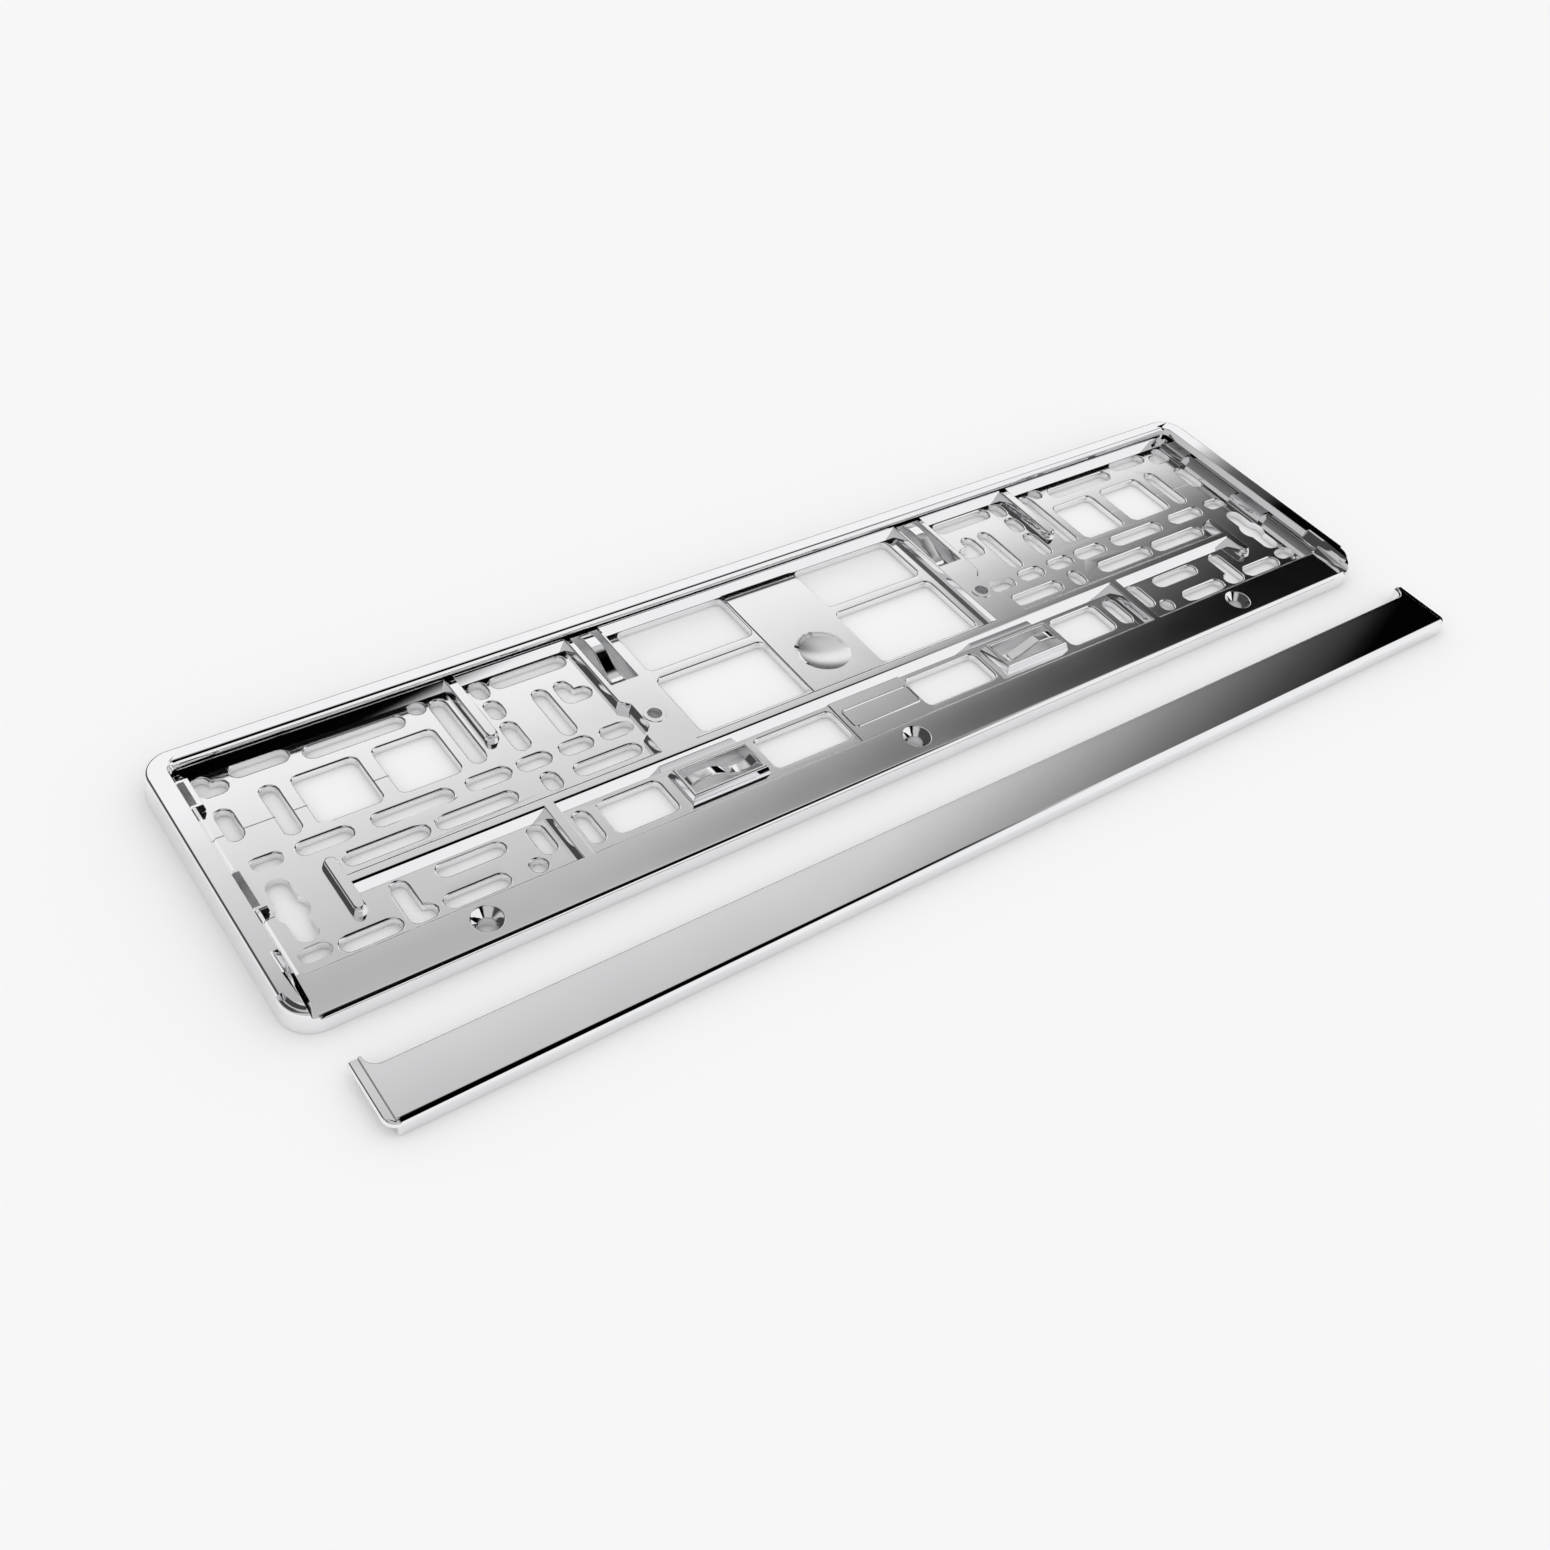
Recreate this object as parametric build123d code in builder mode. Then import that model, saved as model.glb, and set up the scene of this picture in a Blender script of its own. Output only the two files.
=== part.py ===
"""Number plate holder: a moulded frame and the clip-on strip that covers its lower edge.

The frame lies on its back. X runs along the holder, Y from the strip side to the far rim, Z up.
The origin is the middle of the frame's back face, and all lengths are millimetres.
"""

import os
from math import cos, radians, sin

from build123d import *

# Overall frame
FRAME_LENGTH = 530.0
FRAME_WIDTH = 130.4
RIM_TOP = 11.7
SUPPORT_TOP = 7.0
FLOOR_TOP = 3.2
CORNER_RADIUS = 12.0
CORNER_FLATS = 3
WALL_DRAFT = 4.0
RIM_EDGE_RADIUS = 1.3
BAND_EDGE_RADIUS = 1.9
STRIP_STEP = 3.0
STRIP_STEP_TOP = 9.5

# Number plate, the undercut slot that holds it and the lips above the slot
PLATE_LENGTH = 520.0
PLATE_CLEARANCE = 0.6
PLATE_SLOT_DEPTH = 1.8
PLATE_FAR_GAP = 3.0
LIP_OVERLAP = 4.8
LIP_DRAFT = 22.0
LIP_CORNER_RADIUS = 3.0

# Lead-in beside the near ends of the side lips: a sloping wall, and a ramp on the band that runs out to it
LEAD_IN_LENGTH = 28.7
LEAD_IN_TOP_INSET = 6.7
LEAD_IN_TOE_INSET = 7.4
LEAD_RAMP_WIDTH = 3.2
LEAD_RAMP_RISE = 2.2
LEAD_RAMP_RUN_OUT = 0.2

# Floor: distances from the frame's edges to the foot of the walls
FLOOR_END_INSET = 12.5
FLOOR_FAR_INSET = 10.2
FLOOR_NEAR_INSET = 19.6
FAR_WALL_SLOPE = 2.8
NEAR_WALL_SLOPE = 0.5
END_WALL_SLOPE = 2.1

# Support ribs
RIB_WIDTH = 6.0
RIB_DRAFT = 12.0
RIB_ROOT = 2.0
RIB_X = 145.4
UPPER_RIB_LENGTH = 34.0
END_RIB_INSET = 28.2
END_RIB_NEAR = 10.0
END_RIB_FAR = 17.8
CROSS_RIB_INSET = 24.6
CROSS_RIB_TOP_WIDTH = 4.2
CROSS_RIB_SLOPE = 2.4

# Spring boxes: the far pair joins the far wall and the cross rib, the near pair stands free
UPPER_BOX_X = 86.2
UPPER_BOX_WIDTH = 17.8
BOX_NOTCH = 3.7
BOX_NOTCH_LENGTH = 12.5
UPPER_BOX_DRAFT = 14.0
LOWER_BOX_X = 79.2
LOWER_BOX_INSET = 13.1
LOWER_BOX_LENGTH = 36.0
LOWER_BOX_WIDTH = 17.6
LOWER_BOX_DRAFT = 18.0

# Spring windows and the wavy tongues across them
UPPER_SPRING_X = 85.3
UPPER_WINDOW_WIDTH = 12.0
UPPER_WINDOW_LENGTH = 31.0
UPPER_WINDOW_REACH = 1.5
UPPER_TONGUE_WIDTH = 5.4
LOWER_WINDOW_LENGTH = 30.6
LOWER_WINDOW_WIDTH = 12.2
LOWER_TONGUE_WIDTH = 4.6
TONGUE_THICKNESS = 1.4
TONGUE_ROOT = 0.6
TONGUE_PEAK = 8.0
TONGUE_DIP = 3.1
TONGUE_END = 6.0
TONGUE_DIP_SHARE = 0.2
TONGUE_PEAK_SHARE = 0.7

# Middle pad with its dished locating mark
PAD_WIDTH = 36.6
PAD_RISE = 0.5
DISH_RADIUS = 12.0
DISH_DEPTH = 1.9
DISH_INSET = 48.1

# Screw holes of the near band and of the far spring boxes
SCREW_SPACING = 190.4
SCREW_EDGE_DISTANCE = 10.7
SCREW_RADIUS = 3.0
COUNTERSINK_RADIUS = 5.8
SCREW_BOSS_RADIUS = 7.5
SCREW_COUNT = 3
BOSS_INSET = 50.9
BOSS_HOLE_RADIUS = 2.9
BOSS_RING_RADIUS = 4.7
BOSS_RING_RISE = 0.3

# Floor slots along X: rows inside the far or near edge, spans from the middle or inside the end
SLOT_WIDTH = 6.3
MAIN_ROW_INSET = 48.7
MAIN_ROW_MIDDLE = ((93.5, 107.7), (112.0, 125.7), (130.2, 143.8))
MAIN_ROW_END = ((5.0, 16.7), (21.7, 42.3), (87.5, 105.2))
BOLT_SLOT_SPAN = (50.1, 81.3)
LOW_ROW_INSET = 60.6
LOW_ROW_MIDDLE = ((97.8, 126.2),)
LOW_ROW_END = ((33.5, 65.7), (69.0, 101.2))
FAR_MIDDLE_INSET = 4.5
FAR_MIDDLE_SPAN = (98.1, 130.7)
FAR_SQUARES_INSET = 6.7
FAR_SQUARES_SPAN = (43.7, 83.2)
FAR_CORNER_INSET = 3.4
FAR_CORNER_SPAN = (16.7, 38.5)
NEAR_ROW_INSET = 6.4
NEAR_ROW_SPANS = ((16.1, 38.2), (41.0, 51.3), (54.5, 79.3))
NEAR_CORNER_INSET = 8.3
NEAR_CORNER_SPAN = (2.4, 14.0)
NEAR_UPPER_INSET = 20.1
NEAR_UPPER_SPAN = (58.7, 85.1)

# Floor slots along Y: columns from the middle or inside the end, spans inside the far or near edge
RIB_COLUMN_X = 136.5
RIB_COLUMN_SPANS = ((0.6, 10.0), (12.7, 22.5), (25.7, 41.5), (56.0, 65.5))
RIB_COLUMN_NEAR_SPAN = (5.4, 21.9)
LONG_COLUMN_X = 117.0
LONG_COLUMN_SPAN = (15.5, 42.6)
OUTER_COLUMN_INSET = 98.2
OUTER_COLUMN_SPAN = (2.7, 39.8)
OUTER_COLUMN_NEAR_SPAN = (9.1, 24.0)
CORNER_COLUMN_INSET = 24.8
CORNER_COLUMN_SPAN = (15.3, 40.8)
EDGE_COLUMN_INSET = 6.5
EDGE_COLUMN_SPAN = (18.8, 34.5)

# Slots with a foot and slots with a waist
UPPER_FOOT_X = 107.0
UPPER_FOOT_SPAN = (15.3, 27.6)
UPPER_FOOT_LENGTH = 12.2
CORNER_FOOT_INSET = 5.6
CORNER_FOOT_SPAN = (0.8, 11.0)
CORNER_FOOT_LENGTH = 11.5
LOWER_FOOT_INSET = 44.2
LOWER_FOOT_SPAN = (3.2, 23.2)
WAIST_SLOT_INSET = 9.2
WAIST_SLOT_SPAN = (56.6, 87.2)
WAIST_SLOT_WIDTH = 8.4
WAIST_BULGE_RADIUS = 6.2
WAIST_BULGE_INSET = 72.0

# Windows of the floor
WINDOW_RADIUS = 2.8
MIDDLE_WINDOW_X = 45.4
FAR_WINDOW_INSET = 13.2
FAR_WINDOW_LENGTH = 52.0
FAR_WINDOW_WIDTH = 25.6
BIG_WINDOW_INSET = 48.3
BIG_WINDOW_LENGTH = 52.6
BIG_WINDOW_WIDTH = 33.9
NEAR_WINDOW_INSET = 13.8
NEAR_WINDOW_WIDTH = 16.8
INNER_WINDOW_X = 38.4
INNER_WINDOW_LENGTH = 38.0
OUTER_WINDOW_X = 115.2
OUTER_WINDOW_LENGTH = 27.0
SQUARE_SIDE = 25.0
SQUARE_FAR_INSET = 28.1
SQUARE_END_INSETS = (46.3, 77.8)
DOT_RADIUS = 3.1
FAR_DOT_INSETS = (90.3, 3.3)
NEAR_DOT_INSETS = (91.1, 6.4)

# Stop ridges at the floor's ends, each with a core hole behind it
STOP_SPANS = ((2.5, 17.0), (50.0, 69.5))
STOP_REACH = 2.9
STOP_SLOPE = 1.0
STOP_EDGE_RADIUS = 0.9
CORE_HOLE_WIDTH = 6.6
CORE_HOLE_END_WALL = 1.2

# Hollow back
SKIN = 2.4
POCKET_WALL = 3.0
POCKET_PITCH = 47.6
POCKET_COUNT = 10

# Retaining strip, lying in front of the frame
STRIP_LENGTH = 529.6
STRIP_WIDTH = 23.1
STRIP_HEIGHT = 7.0
STRIP_SKIN = 2.6
STRIP_FRONT_WALL = 3.0
STRIP_FLANGE_WIDTH = 3.5
STRIP_FLANGE_DROP = 0.8
STRIP_END_WALL = 2.5
STRIP_CORNER_RADIUS = 5.0
STRIP_FRONT_RADIUS = 2.5
STRIP_FAR_BEVEL = 0.8
STRIP_TAB_WIDTH = 5.2
STRIP_TAB_LENGTH = 4.9
STRIP_TAB_FILLET = 4.5
STRIP_X = 9.4
STRIP_GAP = 23.2

# Places that follow from the sizes above
END = FRAME_LENGTH / 2
FAR = FRAME_WIDTH / 2
NEAR = -FAR
FLOOR_END = END - FLOOR_END_INSET
FLOOR_FAR = FAR - FLOOR_FAR_INSET
FLOOR_NEAR = NEAR + FLOOR_NEAR_INSET
FLOOR_MIDDLE = (FLOOR_FAR + FLOOR_NEAR) / 2
PLATE_SLOT_END = PLATE_LENGTH / 2 + PLATE_CLEARANCE
PLATE_SLOT_FAR = FAR - PLATE_FAR_GAP
LEAD_IN_FAR = NEAR + LEAD_IN_LENGTH
LEAD_IN_TOP = END - LEAD_IN_TOP_INSET
LEAD_IN_TOE = END - LEAD_IN_TOE_INSET
LIP_END = PLATE_LENGTH / 2 - LIP_OVERLAP
LIP_FAR = PLATE_SLOT_FAR - PLATE_CLEARANCE - LIP_OVERLAP
LIP_UNDERSIDE = SUPPORT_TOP + PLATE_SLOT_DEPTH
LIP_HEIGHT = RIM_TOP - LIP_UNDERSIDE
SUPPORT_HEIGHT = SUPPORT_TOP - FLOOR_TOP
END_RIB_X = FLOOR_END - END_RIB_INSET
CROSS_RIB_Y = FLOOR_NEAR + CROSS_RIB_INSET
CROSS_RIB_WIDTH = CROSS_RIB_TOP_WIDTH + 2 * CROSS_RIB_SLOPE
MAIN_ROW_Y = FLOOR_FAR - MAIN_ROW_INSET
BOSS_Y = FLOOR_FAR - BOSS_INSET
SCREW_Y = NEAR + SCREW_EDGE_DISTANCE
LOWER_BOX_Y = FLOOR_NEAR + LOWER_BOX_INSET
NEAR_WINDOW_Y = FLOOR_NEAR + NEAR_WINDOW_INSET
UPPER_WINDOW_FAR = FLOOR_FAR + UPPER_WINDOW_REACH
UPPER_WINDOW_NEAR = UPPER_WINDOW_FAR - UPPER_WINDOW_LENGTH
LOWER_WINDOW_INNER = LOWER_BOX_X - LOWER_WINDOW_LENGTH / 2
LOWER_WINDOW_OUTER = LOWER_BOX_X + LOWER_WINDOW_LENGTH / 2
END_WALL_TOP = FLOOR_END + END_WALL_SLOPE
DISH_SPHERE = (DISH_RADIUS**2 + DISH_DEPTH**2) / (2 * DISH_DEPTH)
BAND_POCKET = (NEAR + POCKET_WALL, FLOOR_NEAR - NEAR_WALL_SLOPE - SKIN)
LEDGE_POCKET = (FLOOR_FAR + SKIN, FAR - POCKET_WALL)
STRIP_FAR = NEAR - STRIP_GAP
STRIP_NEAR = STRIP_FAR - STRIP_WIDTH


def both_sides(x, y):
    """Two places mirrored about the holder's middle."""
    return Locations((x, y), (-x, y))


def screw_places():
    """The screw holes of the near band."""
    return [((i - (SCREW_COUNT - 1) / 2) * SCREW_SPACING, SCREW_Y) for i in range(SCREW_COUNT)]


def few_flat_outline(length, width, radius, turn=0):
    """A rectangle whose round corners, or round ends, are made of a few flats."""
    reach = length / 2 - radius
    rise = width / 2 - radius
    angles = [radians(90 * i / CORNER_FLATS) for i in range(CORNER_FLATS + 1)]
    corner = [(reach + radius * cos(a), rise + radius * sin(a)) for a in angles]
    half = corner + [(-x, y) for x, y in reversed(corner)]
    points = dict.fromkeys(half + [(-x, -y) for x, y in half])
    Polygon(*points, rotation=turn, align=None)


def slots_along(y, spans):
    """A mirrored row of floor slots along X, each from one X to another."""
    for start, end in spans:
        with both_sides((start + end) / 2, y):
            few_flat_outline(end - start, SLOT_WIDTH, SLOT_WIDTH / 2)


def slots_across(x, spans):
    """A mirrored column of floor slots along Y, each from one Y to another."""
    for start, end in spans:
        with both_sides(x, (start + end) / 2):
            few_flat_outline(abs(end - start), SLOT_WIDTH, SLOT_WIDTH / 2, 90)


def windows(x, y, length, width):
    """A mirrored pair of windows with rounded corners."""
    with both_sides(x, y):
        few_flat_outline(length, width, WINDOW_RADIUS)


def from_end(*insets):
    """Spans along X from pairs of distances inside the floor's end."""
    return [(FLOOR_END - outer, FLOOR_END - inner) for inner, outer in insets]


def below_far(*insets):
    """Spans along Y from pairs of distances inside the floor's far edge."""
    return [(FLOOR_FAR - inner, FLOOR_FAR - outer) for inner, outer in insets]


def above_near(*insets):
    """Spans along Y from pairs of distances inside the floor's near edge."""
    return [(FLOOR_NEAR + inner, FLOOR_NEAR + outer) for inner, outer in insets]


def rib_foot(x, near, far):
    """A mirrored pair of round-ended ribs along Y, from one Y to another on the floor."""
    with both_sides(x, (near + far) / 2):
        few_flat_outline(far - near, RIB_WIDTH, RIB_WIDTH / 2, 90)


def lead_in_section(side, foot, ramp_width, ramp_rise):
    """Section of a lead-in above the support level: a ramp, then a slope up to the lip's edge."""
    ramp_share = ramp_rise / (RIM_TOP - SUPPORT_TOP)
    Polygon(
        (side * FLOOR_END / 2, SUPPORT_TOP),
        (side * (foot - ramp_width), SUPPORT_TOP),
        (side * (foot + ramp_share * (LEAD_IN_TOP - foot)), SUPPORT_TOP + ramp_rise),
        (side * LEAD_IN_TOP, RIM_TOP),
        (side * FLOOR_END / 2, RIM_TOP),
        align=None,
    )


def tongue_wave(low, high):
    """Top line of a spring tongue between two walls: a dip near the low one, a peak near the high one."""
    length = high - low
    return [
        (low - TONGUE_ROOT, TONGUE_END),
        (low + TONGUE_DIP_SHARE * length, TONGUE_DIP),
        (low + TONGUE_PEAK_SHARE * length, TONGUE_PEAK),
        (high + TONGUE_ROOT, TONGUE_END),
    ]


def tongue_outline(wave):
    """Closed side of a spring tongue: its top line, level at the dip and the peak, and the same line below."""
    under = [(along, z - TONGUE_THICKNESS) for along, z in wave]
    run = 1 if wave[-1][0] > wave[0][0] else -1
    slopes = [(run, -1), (run, 0), (run, 0), (run, -1)]
    Spline(*wave, tangents=slopes)
    Line(wave[-1], under[-1])
    Spline(*under, tangents=slopes)
    Line(wave[0], under[0])


def strip_ends():
    """The stretches at both ends of the strip where its flanges lie."""
    with Locations((STRIP_X, STRIP_FAR)):
        with GridLocations(STRIP_LENGTH - STRIP_FLANGE_WIDTH, 1, 2, 1):
            Rectangle(STRIP_FLANGE_WIDTH, 2 * (STRIP_WIDTH + STRIP_TAB_LENGTH))


with BuildPart() as plate_frame:
    # Block with drafted walls, rounded at its rim
    with BuildSketch():
        RectangleRounded(FRAME_LENGTH, FRAME_WIDTH, CORNER_RADIUS)
    extrude(amount=RIM_TOP, taper=WALL_DRAFT)
    fillet(plate_frame.edges().group_by(Axis.Z)[-1], RIM_EDGE_RADIUS)

    # Near corners stepped back so that the strip's wall lies flush round them
    with BuildSketch(Plane.XY.offset(STRIP_STEP_TOP)):
        with Locations((0, NEAR)):
            Rectangle(FRAME_LENGTH, 2 * CORNER_RADIUS)
        RectangleRounded(
            FRAME_LENGTH - 2 * STRIP_STEP,
            FRAME_WIDTH - 2 * STRIP_STEP,
            CORNER_RADIUS - STRIP_STEP,
            mode=Mode.SUBTRACT,
        )
    extrude(amount=RIM_TOP - STRIP_STEP_TOP, mode=Mode.SUBTRACT)

    # Opening between the lips, wider toward the top and open at the strip side
    with BuildSketch(Plane.XY.offset(LIP_UNDERSIDE)):
        with Locations((0, LIP_FAR - FRAME_WIDTH / 2)):
            RectangleRounded(2 * LIP_END, FRAME_WIDTH, LIP_CORNER_RADIUS)
    extrude(amount=LIP_HEIGHT, taper=-LIP_DRAFT, mode=Mode.SUBTRACT)

    # Undercut slot for the plate, down to the support level
    with BuildSketch(Plane.XY.offset(SUPPORT_TOP)):
        with Locations((0, (PLATE_SLOT_FAR + LEAD_IN_FAR) / 2)):
            Rectangle(2 * PLATE_SLOT_END, PLATE_SLOT_FAR - LEAD_IN_FAR)
        with Locations((0, LIP_FAR - FRAME_WIDTH / 2)):
            Rectangle(2 * LIP_END, FRAME_WIDTH)
    extrude(amount=PLATE_SLOT_DEPTH, mode=Mode.SUBTRACT)

    # Rounded near edge of the band, and of the stepped corners beside it
    support_edges = plate_frame.edges().filter_by_position(Axis.Z, SUPPORT_TOP, SUPPORT_TOP)
    fillet(support_edges.sort_by(Axis.Y)[0], BAND_EDGE_RADIUS)
    step_edges = plate_frame.edges().filter_by_position(Axis.Z, STRIP_STEP_TOP, STRIP_STEP_TOP)
    fillet(step_edges.filter_by(GeomType.CIRCLE).sort_by(SortBy.RADIUS)[-2:], BAND_EDGE_RADIUS)

    # Sunk floor between sloping far and near walls
    with BuildSketch(Plane.YZ):
        Polygon(
            (FLOOR_NEAR, FLOOR_TOP),
            (FLOOR_FAR, FLOOR_TOP),
            (FLOOR_FAR + FAR_WALL_SLOPE, SUPPORT_TOP),
            (FLOOR_NEAR - NEAR_WALL_SLOPE, SUPPORT_TOP),
            align=None,
        )
    extrude(amount=FLOOR_END, both=True, mode=Mode.SUBTRACT)

    # Sloping end walls of the floor
    for side in (-1, 1):
        with BuildSketch(Plane.XZ.offset(-FLOOR_MIDDLE)):
            Polygon(
                (side * FLOOR_END, FLOOR_TOP),
                (side * END_WALL_TOP, SUPPORT_TOP),
                (side * FLOOR_END, SUPPORT_TOP),
                align=None,
            )
        extrude(amount=(FLOOR_FAR - FLOOR_NEAR) / 2, both=True, mode=Mode.SUBTRACT)

    # Lead-ins: straight beside the floor, and with a ramp that runs out along the band
    for side in (-1, 1):
        with BuildSketch(Plane.XZ.offset(-LEAD_IN_FAR)):
            lead_in_section(side, END_WALL_TOP, 0, LEAD_RAMP_RISE)
        extrude(amount=LEAD_IN_FAR - FLOOR_NEAR, mode=Mode.SUBTRACT)
        with BuildSketch(Plane.XZ.offset(-FLOOR_NEAR)):
            lead_in_section(side, END_WALL_TOP, LEAD_RAMP_WIDTH, LEAD_RAMP_RISE)
        with BuildSketch(Plane.XZ.offset(-NEAR)):
            lead_in_section(side, LEAD_IN_TOE, LEAD_RAMP_RUN_OUT, LEAD_RAMP_RUN_OUT)
        loft(ruled=True, mode=Mode.SUBTRACT)

    # Cross rib between the two end ribs
    with BuildSketch(Plane.YZ):
        Polygon(
            (CROSS_RIB_Y, FLOOR_TOP),
            (CROSS_RIB_Y + CROSS_RIB_WIDTH, FLOOR_TOP),
            (CROSS_RIB_Y + CROSS_RIB_WIDTH - CROSS_RIB_SLOPE, SUPPORT_TOP),
            (CROSS_RIB_Y + CROSS_RIB_SLOPE, SUPPORT_TOP),
            align=None,
        )
    extrude(amount=END_RIB_X, both=True)

    # Drafted ribs that stand across the holder, with round ends
    with BuildSketch(Plane.XY.offset(FLOOR_TOP)):
        rib_foot(RIB_X, FLOOR_NEAR - NEAR_WALL_SLOPE - RIB_WIDTH, CROSS_RIB_Y + CROSS_RIB_WIDTH - RIB_ROOT)
        rib_foot(RIB_X, FLOOR_FAR - UPPER_RIB_LENGTH, FLOOR_FAR + FAR_WALL_SLOPE + RIB_WIDTH)
        rib_foot(END_RIB_X, CROSS_RIB_Y - END_RIB_NEAR, CROSS_RIB_Y + END_RIB_FAR)
    extrude(amount=SUPPORT_HEIGHT, taper=RIB_DRAFT)

    # Spring boxes of the far side, notched beside the slots' ends
    box_inner = UPPER_BOX_X - UPPER_BOX_WIDTH / 2
    box_outer = UPPER_BOX_X + UPPER_BOX_WIDTH / 2
    box_far = FLOOR_FAR + FAR_WALL_SLOPE + RIB_ROOT
    box_near = CROSS_RIB_Y + CROSS_RIB_SLOPE
    notch_far = MAIN_ROW_Y + BOX_NOTCH_LENGTH / 2
    notch_near = MAIN_ROW_Y - BOX_NOTCH_LENGTH / 2
    with BuildSketch(Plane.XY.offset(FLOOR_TOP)):
        for side in (-1, 1):
            outline = [
                (side * box_inner, box_far),
                (side * box_outer, box_far),
                (side * box_outer, notch_far + BOX_NOTCH),
                (side * (box_outer - BOX_NOTCH), notch_far),
                (side * (box_outer - BOX_NOTCH), notch_near),
                (side * box_outer, notch_near - BOX_NOTCH),
                (side * box_outer, box_near),
                (side * box_inner, box_near),
            ]
            Polygon(*outline[::-side], align=None)
    extrude(amount=SUPPORT_HEIGHT, taper=UPPER_BOX_DRAFT)

    # Spring boxes of the near side
    with BuildSketch(Plane.XY.offset(FLOOR_TOP)):
        with both_sides(LOWER_BOX_X, LOWER_BOX_Y):
            Rectangle(LOWER_BOX_LENGTH, LOWER_BOX_WIDTH)
    extrude(amount=SUPPORT_HEIGHT, taper=LOWER_BOX_DRAFT)

    # Middle pad
    with BuildSketch(Plane.XY.offset(FLOOR_TOP)):
        with Locations((0, FLOOR_MIDDLE)):
            Rectangle(PAD_WIDTH, FLOOR_FAR - FLOOR_NEAR)
    extrude(amount=PAD_RISE)

    # Slots, windows and round holes right through the floor
    with BuildSketch(Plane.XY.offset(FLOOR_TOP)):
        slots_along(MAIN_ROW_Y, MAIN_ROW_MIDDLE)
        slots_along(MAIN_ROW_Y, from_end(*MAIN_ROW_END))
        for start, end in from_end(BOLT_SLOT_SPAN):
            with both_sides((start + end) / 2, MAIN_ROW_Y):
                SlotOverall(end - start, SLOT_WIDTH)
        slots_along(FLOOR_FAR - LOW_ROW_INSET, LOW_ROW_MIDDLE)
        slots_along(FLOOR_FAR - LOW_ROW_INSET, from_end(*LOW_ROW_END))
        slots_along(FLOOR_FAR - FAR_MIDDLE_INSET, [FAR_MIDDLE_SPAN])
        slots_along(FLOOR_FAR - FAR_SQUARES_INSET, from_end(FAR_SQUARES_SPAN))
        slots_along(FLOOR_FAR - FAR_CORNER_INSET, from_end(FAR_CORNER_SPAN))
        slots_along(FLOOR_NEAR + NEAR_ROW_INSET, from_end(*NEAR_ROW_SPANS))
        slots_along(FLOOR_NEAR + NEAR_CORNER_INSET, from_end(NEAR_CORNER_SPAN))
        slots_along(FLOOR_NEAR + NEAR_UPPER_INSET, from_end(NEAR_UPPER_SPAN))
        slots_across(RIB_COLUMN_X, below_far(*RIB_COLUMN_SPANS))
        slots_across(RIB_COLUMN_X, above_near(RIB_COLUMN_NEAR_SPAN))
        slots_across(LONG_COLUMN_X, below_far(LONG_COLUMN_SPAN))
        slots_across(FLOOR_END - OUTER_COLUMN_INSET, below_far(OUTER_COLUMN_SPAN))
        slots_across(FLOOR_END - OUTER_COLUMN_INSET, above_near(OUTER_COLUMN_NEAR_SPAN))
        slots_across(FLOOR_END - CORNER_COLUMN_INSET, below_far(CORNER_COLUMN_SPAN))
        slots_across(FLOOR_END - EDGE_COLUMN_INSET, below_far(EDGE_COLUMN_SPAN))
        windows(MIDDLE_WINDOW_X, FLOOR_FAR - FAR_WINDOW_INSET, FAR_WINDOW_LENGTH, FAR_WINDOW_WIDTH)
        windows(MIDDLE_WINDOW_X, FLOOR_FAR - BIG_WINDOW_INSET, BIG_WINDOW_LENGTH, BIG_WINDOW_WIDTH)
        windows(INNER_WINDOW_X, NEAR_WINDOW_Y, INNER_WINDOW_LENGTH, NEAR_WINDOW_WIDTH)
        windows(OUTER_WINDOW_X, NEAR_WINDOW_Y, OUTER_WINDOW_LENGTH, NEAR_WINDOW_WIDTH)
        for inset in SQUARE_END_INSETS:
            windows(FLOOR_END - inset, FLOOR_FAR - SQUARE_FAR_INSET, SQUARE_SIDE, SQUARE_SIDE)
        with both_sides(FLOOR_END - FAR_DOT_INSETS[0], FLOOR_FAR - FAR_DOT_INSETS[1]):
            Circle(DOT_RADIUS)
        with both_sides(FLOOR_END - NEAR_DOT_INSETS[0], FLOOR_NEAR + NEAR_DOT_INSETS[1]):
            Circle(DOT_RADIUS)
    extrude(amount=-FLOOR_TOP, mode=Mode.SUBTRACT)

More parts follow.
